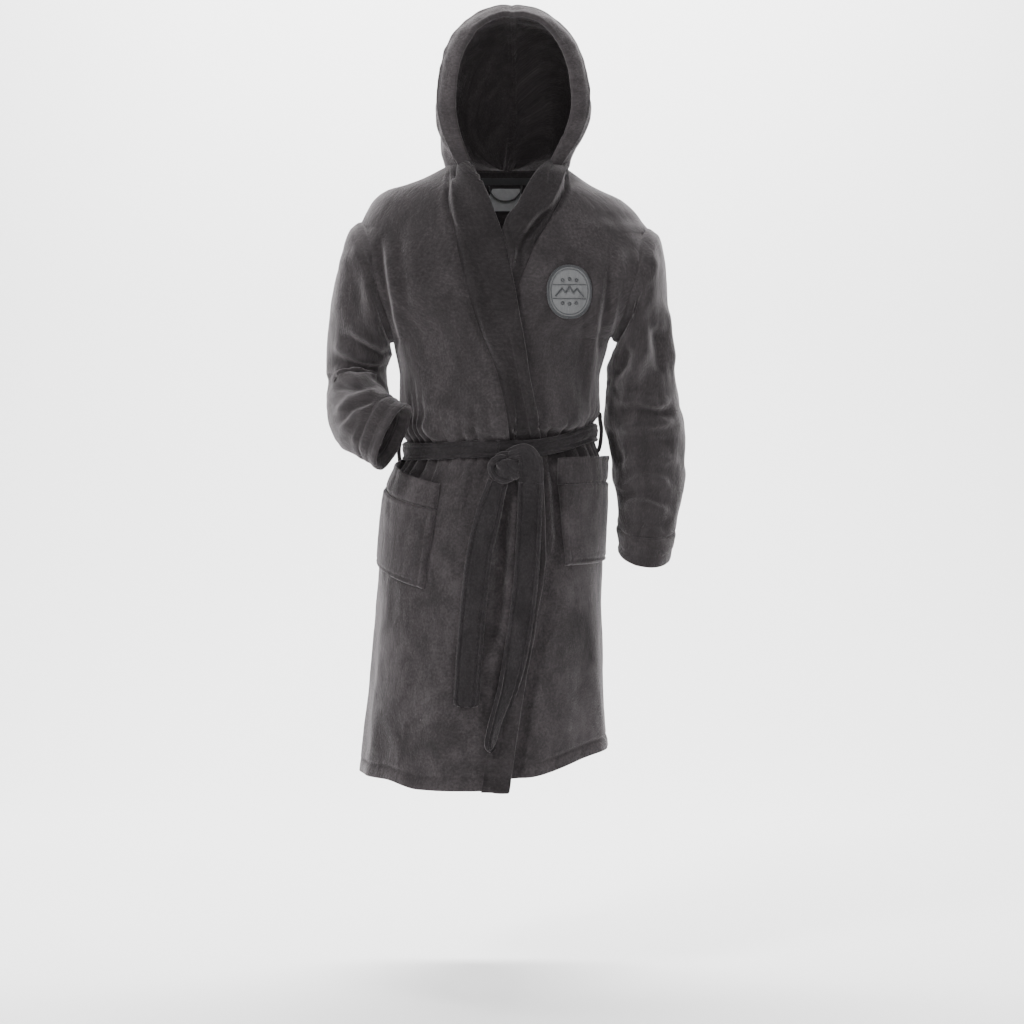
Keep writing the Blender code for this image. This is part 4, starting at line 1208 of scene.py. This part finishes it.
# ------------------------------------------------------------------ belt
def ribbon(name, middle, across, width, thick, nap_offset, material, ridges, cols=30, crease=None,
           closed=False):
    """A padded flat strap swept along points, with a stitched ridge along both edges."""
    middle, across = np.asarray(middle, float), unit(np.asarray(across, float))
    width = np.broadcast_to(np.asarray(width, float), (len(middle),))
    thick = np.broadcast_to(np.asarray(thick, float), (len(middle),))
    if closed:
        ahead = unit(np.roll(middle, -1, 0) - np.roll(middle, 1, 0))
    else:
        ahead = unit(np.gradient(middle, axis=0))
    across = unit(across - ahead * np.sum(across * ahead, 1)[:, None])
    out = np.cross(ahead, across)
    q = np.linspace(-1, 1, cols)
    q = np.sin(q * math.pi / 2)
    edge = np.sqrt(np.clip(1 - np.abs(q) ** 5, 0, 1))
    run = np.concatenate([[0], np.cumsum(np.linalg.norm(np.diff(middle, axis=0), axis=1))])
    rings, naps = [], []
    for k in range(len(middle)):
        half = width[k] / 2
        d_edge = half * (1 - np.abs(q))
        puff = ridges * (bump(d_edge, 0.0038, 0.0026) - 0.8 * bump(d_edge, 0.0088, 0.0020))
        wob = 0.0006 * noise(q * half / 0.010, run[k] / 0.020, 91) * edge
        extra = crease(q * half, run[k]) if crease else 0
        top = thick[k] / 2 * edge + puff * edge + wob + extra
        low = -thick[k] / 2 * edge - puff * edge + extra
        line = np.concatenate([
            middle[k] + across[k] * (q * half)[:, None] + out[k] * top[:, None],
            (middle[k] + across[k] * (q * half)[:, None] + out[k] * low[:, None])[::-1][1:-1],
        ])
        rings.append(line)
        u = np.concatenate([q * half, (q * half)[::-1][1:-1] + 0.2])
        naps.append(np.stack([u + nap_offset, np.full(u.shape, run[k]), 0 * u], -1))
    rings, naps = np.array(rings), np.array(naps)
    r, c = rings.shape[:2]
    quads = [ring_quads(r, c, rejoin=closed)]
    if not closed:
        k = np.arange(cols - 1)
        back = lambda m: np.where(m == 0, 0, np.where(m == cols - 1, cols - 1, 2 * cols - 2 - m))
        for base, flip in ((0, False), ((r - 1) * c, True)):
            mids = k[1:-1]
            cap = np.stack([base + mids, base + mids + 1, base + back(mids + 1), base + back(mids)], -1)
            quads.append(cap[:, ::-1] if flip else cap)
    quads = np.vstack(quads)
    thing = new_object(name, rings.reshape(-1, 3), quads, naps.reshape(-1, 3), material)
    if not closed:
        close_ends(thing)
    return thing


def close_ends(thing):
    """Fills the small triangles left at the ends of a strap."""
    bm = bmesh.new()
    bm.from_mesh(thing.data)
    loose = [e for e in bm.edges if e.is_boundary]
    if loose:
        bmesh.ops.holes_fill(bm, edges=loose, sides=8)
    bmesh.ops.recalc_face_normals(bm, faces=bm.faces)
    for f in bm.faces:
        f.smooth = True
    bm.to_mesh(thing.data)
    bm.free()


def spline(points, count):
    """A smooth open path through the points, evenly spaced."""
    p = np.array(points, float)
    p = np.vstack([2 * p[0] - p[1], p, 2 * p[-1] - p[-2]])
    out = []
    for k in range(1, len(p) - 2):
        t = np.linspace(0, 1, 40, endpoint=False)[:, None]
        a, b, c, d = p[k - 1], p[k], p[k + 1], p[k + 2]
        bend, twist = 2 * a - 5 * b + 4 * c - d, 3 * b - a - 3 * c + d
        out.append(0.5 * (2 * b + (c - a) * t + bend * t**2 + twist * t**3))
    out = np.vstack(out + [p[-2:-1]])
    s = np.concatenate([[0], np.cumsum(np.linalg.norm(np.diff(out, axis=0), axis=1))])
    at = np.linspace(0, s[-1], count)
    return np.stack([np.interp(at, s, out[:, k]) for k in range(out.shape[1])], -1)


def belt_middle(angle, out):
    z = WAIST_Z - 0.003 + waist_rise(angle)
    p = trunk(angle, z, out)
    p[..., 2] = z
    return p


def front_y(x, z):
    """The y of the skirt's outside at these places, folds included."""
    angle = angle_at(x, z)
    base = trunk(angle, z)
    return base[..., 1] - fold_depth(angle, z, base[..., 0], True)


def build_belt():
    angle = np.linspace(0, TAU, 300, endpoint=False)
    middle = belt_middle(angle, BELT_OUT)
    width = 0.032 + 0.006 * smooth(0.3, 1.0, np.abs(np.sin(angle / 2)))

    def sag(u, run):
        wave = np.sin(u / 0.004 + 1.5 * noise(run / 0.05, 1.0, 95))
        return 0.0010 * wave + 0.0008 * noise(run / 0.02, u / 0.01, 96)

    across = np.tile([0, 0, 1.0], (300, 1))
    piece = ribbon("belt_waist", middle, across, width, 0.0075, 20, FLEECE_BELT_PAINTED_SHADE, 0.0016, crease=sag,
                   closed=True)
    take(piece, "trunk", "belt_waist")
    build_knot()
    build_tails()


def lump(name, centre, size, lean, seed, material, count=(90, 120)):
    """The wrapped body of the knot: a rounded roll with fine slanting creases."""
    lat = np.linspace(0.001, math.pi - 0.001, count[0])[:, None]
    lon = np.linspace(0, TAU, count[1], endpoint=False)[None, :]
    s = np.abs(np.sin(lat)) ** 0.85
    up = np.sign(np.cos(lat)) * np.abs(np.cos(lat)) ** 0.9 + 0 * lon
    p = np.stack([s * np.cos(lon), s * np.sin(lon), up], -1)
    x, z = p[..., 0] * size[0], p[..., 2] * size[2]
    slant = (x * math.sin(lean) + z * math.cos(lean)) / 0.0017
    crease = np.sin(slant + 2.2 * noise(x / 0.010, z / 0.010, seed))
    d = 1 + 0.030 * crease * smooth(0.2, 0.7, s) + 0.05 * noise(x / 0.012, z / 0.012, seed + 1)
    p = p * np.array(size) * d[..., None]
    grid = p + np.array(centre)
    nap = np.stack([x + 30, z, 0 * x], -1)
    return new_object(name, grid.reshape(-1, 3), ball_quads(*grid.shape[:2]), nap.reshape(-1, 3), material)


def build_knot():
    """A wrapped lump, a strap folded over its top and a small eye at its side."""
    front = KNOT_Y
    wrap = lump("belt_knot", (0.0080, front - 0.005, -0.5745), (0.0265, 0.0205, 0.0215), 0.75, 111,
                FLEECE_BELT_PAINTED_SHADE)
    take(wrap, "trunk", "belt_knot")
    # the strap that comes over the top and turns down into the hanging end
    path = spline([(-0.002, front + 0.012, -0.556), (0.014, front - 0.006, -0.5455),
                   (0.034, front - 0.0145, -0.5420), (0.0455, front - 0.0175, -0.556),
                   (0.049, front - 0.0160, -0.580), (0.0482, front - 0.0105, -0.6000)], 60)
    turn = np.linspace(0, 1, 60)
    lean = smooth(0.05, 0.62, turn)
    across = np.stack([0.35 + 0.65 * lean, -0.15 * (1 - lean), 0.95 * (1 - lean)], -1)
    width = 0.030 + 0.0165 * smooth(0.2, 0.8, turn)
    sag = lambda u, run: 0.0016 * np.cos(u / 0.0048 + 0.6) * math.exp(-run / 0.03)
    thick = 0.0095 - 0.0029 * smooth(0.6, 1.0, turn)
    strap = ribbon("belt_knot_strap", path, across, width, thick, 24, FLEECE_BELT_PAINTED_SHADE, 0.0016, crease=sag)
    take(strap, "trunk")
    # the eye beside it
    path = spline([(0.006, front + 0.004, -0.5555), (-0.011, front - 0.004, -0.5550),
                   (-0.0225, front - 0.006, -0.5630), (-0.0240, front - 0.006, -0.5755),
                   (-0.0160, front - 0.008, -0.5880), (-0.003, front - 0.010, -0.5935),
                   (0.010, front - 0.004, -0.5895)], 60)
    middle = path.mean(0)
    out = unit(path - np.array([-0.010, middle[1], -0.573]))
    across = np.stack([0.25 * out[:, 0], -0.9 + 0 * out[:, 0], 0.25 * out[:, 2]], -1)
    eye = ribbon("belt_knot_loop", path, across, 0.021, 0.0112, 27, FLEECE_BELT_PAINTED_SHADE, 0.0012)
    take(eye, "trunk", "belt_knot_loop")
    # the crushed cloth above the knot
    puff = lump("belt_knot_gather", (0.0080, front + 0.004, -0.5520), (0.0260, 0.0125, 0.0120), 1.2, 121,
                FLEECE_BELT_PAINTED_SHADE, (60, 90))
    take(puff, "trunk")


TAIL_LEFT = [(-0.598, 0.0480), (-0.660, 0.0455), (-0.747, 0.0415), (-0.850, 0.0310), (-0.973, 0.0090),
             (-1.050, -0.016), (-1.102, -0.030)]
TAIL_RIGHT = [(-0.598, -0.0130), (-0.650, -0.0280), (-0.747, -0.0500), (-0.850, -0.0610), (-0.930, -0.0675),
              (-1.018, -0.0730)]


def build_tails():
    for side, route, seed in (("left", TAIL_LEFT, 131), ("right", TAIL_RIGHT, 137)):
        x_of = curve(route)
        z = np.linspace(route[0][0], route[-1][0], 150)
        x = x_of(z)
        front = np.min([front_y(x + d, z) for d in (-0.022, -0.011, 0.0, 0.011, 0.022)], axis=0)
        room = np.minimum(front - 0.0095, -0.1585)
        k = np.ones(31) / 31
        room = np.convolve(np.pad(room, 15, mode="edge"), k, "valid")
        middle = np.stack([x, room - 0.0015, z], -1)
        run = (z[0] - z) / (z[0] - z[-1])
        if side == "left":
            twist = 0.95 * smooth(0.55, 0.98, run) * -1
            width = 0.0465 - 0.004 * smooth(0.5, 1.0, run)
            tip = 0.026
        else:
            twist = 0.30 * smooth(0.35, 0.0, run) + 0.05 * np.sin(6 * run)
            width = 0.0490 - 0.008 * smooth(0.16, 0.0, run)
            tip = 0.010
        across = np.stack([np.cos(twist), np.sin(twist) * (-1 if side == "left" else 1), 0 * twist], -1)
        to_end = (z - z[-1])
        round_off = np.sqrt(np.clip(1 - (1 - np.clip(to_end / tip, 0, 1)) ** 2, 0.02, 1))
        width = width * round_off ** (1.0 if side == "left" else 0.35)
        thick = 0.0066 * np.sqrt(np.clip(1 - (1 - np.clip((to_end + 0.0004) / 0.004, 0, 1)) ** 2, 0.02, 1))

        def bend(u, r):
            return 0.0014 * noise(r / 0.06, u / 0.03, seed) + 0.0022 * np.cos(u / 0.016) - 0.0015

        piece = ribbon("belt_tail_" + side, middle, across, width, thick, 33 + seed, FLEECE_BELT_PAINTED_SHADE, 0.0026,
                       cols=44, crease=bend)
        take(piece, side + "_tail", "belt_tail_" + side)


def build_small():
    for sign, side in ((-1, "right"), (1, "left")):
        angle = sign * math.pi / 2
        waist = belt_middle(np.array([angle]), BELT_OUT)[0]
        t = np.linspace(0, 1, 60)
        z = waist[2] + 0.036 * np.cos(math.pi * t)
        reach = trunk(np.full(60, angle), z, 0.0)[:, 0]
        stand = waist[0] + sign * 0.0085
        x = reach + (stand - reach) * np.sin(math.pi * t) ** 0.8 + sign * 0.0025
        x = np.where(sign * x < sign * reach + 0.0025, reach + sign * 0.0025, x)
        path = np.stack([x, np.full(60, waist[1]), z], -1)
        across = np.tile([0, 1.0, 0], (60, 1))
        piece = ribbon(side + "_belt_loop", path, across, 0.013, 0.0070, 40 + sign, FLEECE, 0.0004)
        take(piece, "trunk", side + "_belt_loop")

    def inside(angle, z, depth):
        return trunk(angle, z, -depth)

    turn = (math.pi * np.linspace(0.72, 1.28, 90))[None, :]
    rows = np.linspace(-0.006, -0.018, 8)[:, None]
    grid = inside(turn, rows, CLOTH + 0.0030)
    piece = shell("neck_tape", grid, 0.0012, hub=(0, 0, -0.01), material=TAPE)
    take(piece, "trunk", "neck_tape")
    turn = (math.pi * np.linspace(0.964, 1.036, 30))[None, :]
    rows = np.linspace(-0.026, -0.068, 30)[:, None]
    grid = inside(turn, rows, CLOTH + 0.0050 + 0.0006 * np.sin(rows * 150))
    piece = shell("neck_label", grid, 0.0008, hub=(0, 0, -0.05), material=LABEL)
    take(piece, "trunk", "neck_label")
    t = np.linspace(0, math.pi, 60)
    y = float(inside(np.array([math.pi]), np.array([-0.020]), CLOTH + 0.0110)[0, 1])
    path = np.stack([0.032 * np.cos(t), np.full(60, y), -0.021 - 0.030 * np.sin(t)], -1)
    piece = ribbon("hanging_loop", path, np.tile([0, 1.0, 0], (60, 1)), 0.0090, 0.0026, 45, TAPE, 0.0003)
    take(piece, "trunk", "hanging_loop")


# ------------------------------------------------------------------ badge
BADGE = (0.1205, -0.2425)


def patch(name, rim, out, rings, material, thick=0.0020):
    """A stitched patch on the chest: rim(t) gives its outline, and out is how far it stands up."""
    count = 160
    t = np.linspace(0, TAU, count, endpoint=False)
    rx, rz = rim(t)
    rows, naps = [], []
    for s in np.linspace(1.0, 0.015, rings):
        x, z = BADGE[0] + rx * s, BADGE[1] + rz * s
        rise = out * np.sqrt(np.clip(1 - (max(s - 0.965, 0) / 0.036) ** 2, 0.0, 1)) + 0.0004
        rows.append(np.stack([x, front_y(x, z) - rise, z], -1))
        naps.append(np.stack([x, z, 0 * x], -1))
    front = np.array(rows)
    back = front[::-1] + np.array([0, thick, 0])
    loop = np.vstack([back, front])
    naps = np.vstack([np.array(naps)[::-1], np.array(naps)])
    return new_object(name, loop.reshape(-1, 3), ball_quads(*loop.shape[:2]), naps.reshape(-1, 3), material)


def oval(half_x, half_z):
    def rim(t):
        s, c = np.sin(t), np.cos(t)
        return half_x * np.sign(s) * np.abs(s) ** 0.92, half_z * np.sign(c) * np.abs(c) ** 0.92
    return rim


def joined(name, parts):
    """One mesh out of several."""
    bpy.ops.object.select_all(action="DESELECT")
    for part in parts:
        part.select_set(True)
    bpy.context.view_layer.objects.active = parts[0]
    bpy.ops.object.join()
    parts[0].name = name
    return parts[0]


def strip(name, points, wide, out, material, closed=False):
    """A narrow raised row of stitches on the badge along (x, z) points."""
    points = np.array(points, float)
    x, z = BADGE[0] + points[:, 0], BADGE[1] + points[:, 1]
    middle = np.stack([x, front_y(x, z) - out, z], -1)
    along = unit(np.gradient(middle, axis=0))
    across = np.cross(along, np.tile([0, 1.0, 0], (len(x), 1)))
    return ribbon(name, middle, across, wide, 0.0020, 61, material, 0.0001, cols=12, closed=closed)


def build_badge():
    """A plain oval patch: two stitched rims, two lines, three peaks between them, and six dots."""
    piece = patch("badge_backing", oval(0.0425, 0.0505), 0.0032, 44, BADGE_LIGHT)
    take(piece, "trunk", "badge_backing")
    t = np.linspace(0, TAU, 160, endpoint=False)
    parts = []
    for half_x, half_z, wide, out in ((0.0402, 0.0482, 0.0048, 0.0040), (0.0345, 0.0425, 0.0014, 0.0038)):
        rx, rz = oval(half_x, half_z)(t)
        parts.append(strip("badge_rim", np.stack([rx, rz], -1), wide, out, BADGE_DARK, closed=True))
    span = np.linspace(-1, 1, 60)
    for height, wide in ((0.0130, 0.0016), (-0.0130, 0.0016)):
        reach = 0.0330 * math.sqrt(1 - (height / 0.0430) ** 2)
        line = np.stack([span * reach, height + 0 * span], -1)
        parts.append(strip("badge_line", line, wide, 0.0038, BADGE_DARK))
    peaks = [(-0.0260, -0.0085), (-0.0140, 0.0060), (-0.0070, -0.0025), (0.0, 0.0100), (0.0070, -0.0025),
             (0.0140, 0.0060), (0.0260, -0.0085)]
    for a, b in zip(peaks[:-1], peaks[1:]):
        share = np.linspace(-0.03, 1.03, 16)[:, None]
        slope = np.array(a) + (np.array(b) - np.array(a)) * share
        parts.append(strip("badge_peak", slope, 0.0034, 0.0042, BADGE_DARK))
    dots = ((0.0, 0.0235), (-0.0130, 0.0215), (0.0130, 0.0215),
            (0.0, -0.0230), (-0.0130, -0.0215), (0.0130, -0.0215))
    for centre in dots:
        ring = np.array(centre) + 0.0026 * np.stack([np.cos(t[::4]), np.sin(t[::4])], -1)
        parts.append(strip("badge_dot", ring, 0.0022, 0.0040, BADGE_DARK, closed=True))
    motif = joined("badge_motif_thread", parts)
    take(motif, "trunk", "badge_motif")


def build_stage():
    mat, tree, bsdf = shader("studio_floor")
    b = Build(tree)
    geo = b.node("NewGeometry")
    soft = b.noise(b.scaled(geo.outputs["Position"], (0.7, 0.7, 0.7)), 1.0, 2.0)
    colour = b.ramp(soft, [(0.3, (0.93, 0.93, 0.93)), (0.7, (0.96, 0.96, 0.96))])
    b.link(colour, bsdf.inputs["Base Color"])
    bsdf.inputs["Roughness"].default_value = 0.9
    mesh = bpy.data.meshes.new("studio_floor")
    wide, back, front, up, low, sweep = 9.0, 3.2, -9.0, 6.0, -1.56, 1.5
    profile = [(front, low)]
    for k in range(13):
        t = math.pi / 2 * k / 12
        profile.append((back - sweep + sweep * math.sin(t), low + sweep - sweep * math.cos(t)))
    profile.append((back, up))
    points = [(x, y, z) for y, z in profile for x in (-wide, wide)]
    faces = [(2 * k, 2 * k + 1, 2 * k + 3, 2 * k + 2) for k in range(len(profile) - 1)]
    mesh.from_pydata(points, [], faces)
    mesh.update()
    for p in mesh.polygons:
        p.use_smooth = True
    mesh.materials.append(mat)
    floor = bpy.data.objects.new("studio_floor", mesh)
    bpy.context.scene.collection.objects.link(floor)


def lamp(name, place, target, size, power):
    data = bpy.data.lights.new(name, "AREA")
    data.shape = "RECTANGLE"
    data.size, data.size_y = size
    data.energy = power
    thing = bpy.data.objects.new(name, data)
    thing.location = place
    thing.rotation_euler = (Vector(target) - Vector(place)).to_track_quat("-Z", "Y").to_euler()
    bpy.context.scene.collection.objects.link(thing)


# name, place, target, width and height, watts
AIM = (0, 0, -0.50)
LAMPS = (
    ("key", (-2.4, -2.4, 2.4), AIM, (0.9, 1.1), 165),
    ("fill", (2.8, -2.6, 0.4), AIM, (1.6, 2.2), 24),
    ("front", (0.2, -4.6, 0.3), AIM, (1.6, 1.2), 70),
    ("rim_left", (-2.4, 0.9, 0.6), AIM, (0.8, 2.4), 34),
    ("rim_right", (2.4, 0.9, 0.6), AIM, (0.8, 2.4), 22),
    ("backdrop_low", (0.0, 0.9, 2.6), (0, 3.2, -0.9), (3.5, 0.8), 520),
)
WORLD_LIGHT = 0.42


def build_light():
    world = bpy.data.worlds.new("studio")
    world.use_nodes = True
    world.node_tree.nodes["Background"].inputs[0].default_value = (1, 1, 1, 1)
    world.node_tree.nodes["Background"].inputs[1].default_value = WORLD_LIGHT
    bpy.context.scene.world = world
    for values in LAMPS:
        lamp(*values)


CAMERA_AT = (0.013, -4.2, -0.50)
CAMERA_AIM = (0.013, 0, -0.660)
LENS_MM = 76.2


def build_camera():
    data = bpy.data.cameras.new("camera")
    data.sensor_width = 36
    data.lens = LENS_MM
    cam = bpy.data.objects.new("camera", data)
    cam.location = CAMERA_AT
    cam.rotation_euler = (Vector(CAMERA_AIM) - Vector(CAMERA_AT)).to_track_quat("-Z", "Y").to_euler()
    bpy.context.scene.collection.objects.link(cam)
    bpy.context.scene.camera = cam


build_trunk()
build_hood()
build_sleeves()
build_pockets()
build_belt()
build_small()
build_badge()
build_stage()
build_light()
build_camera()
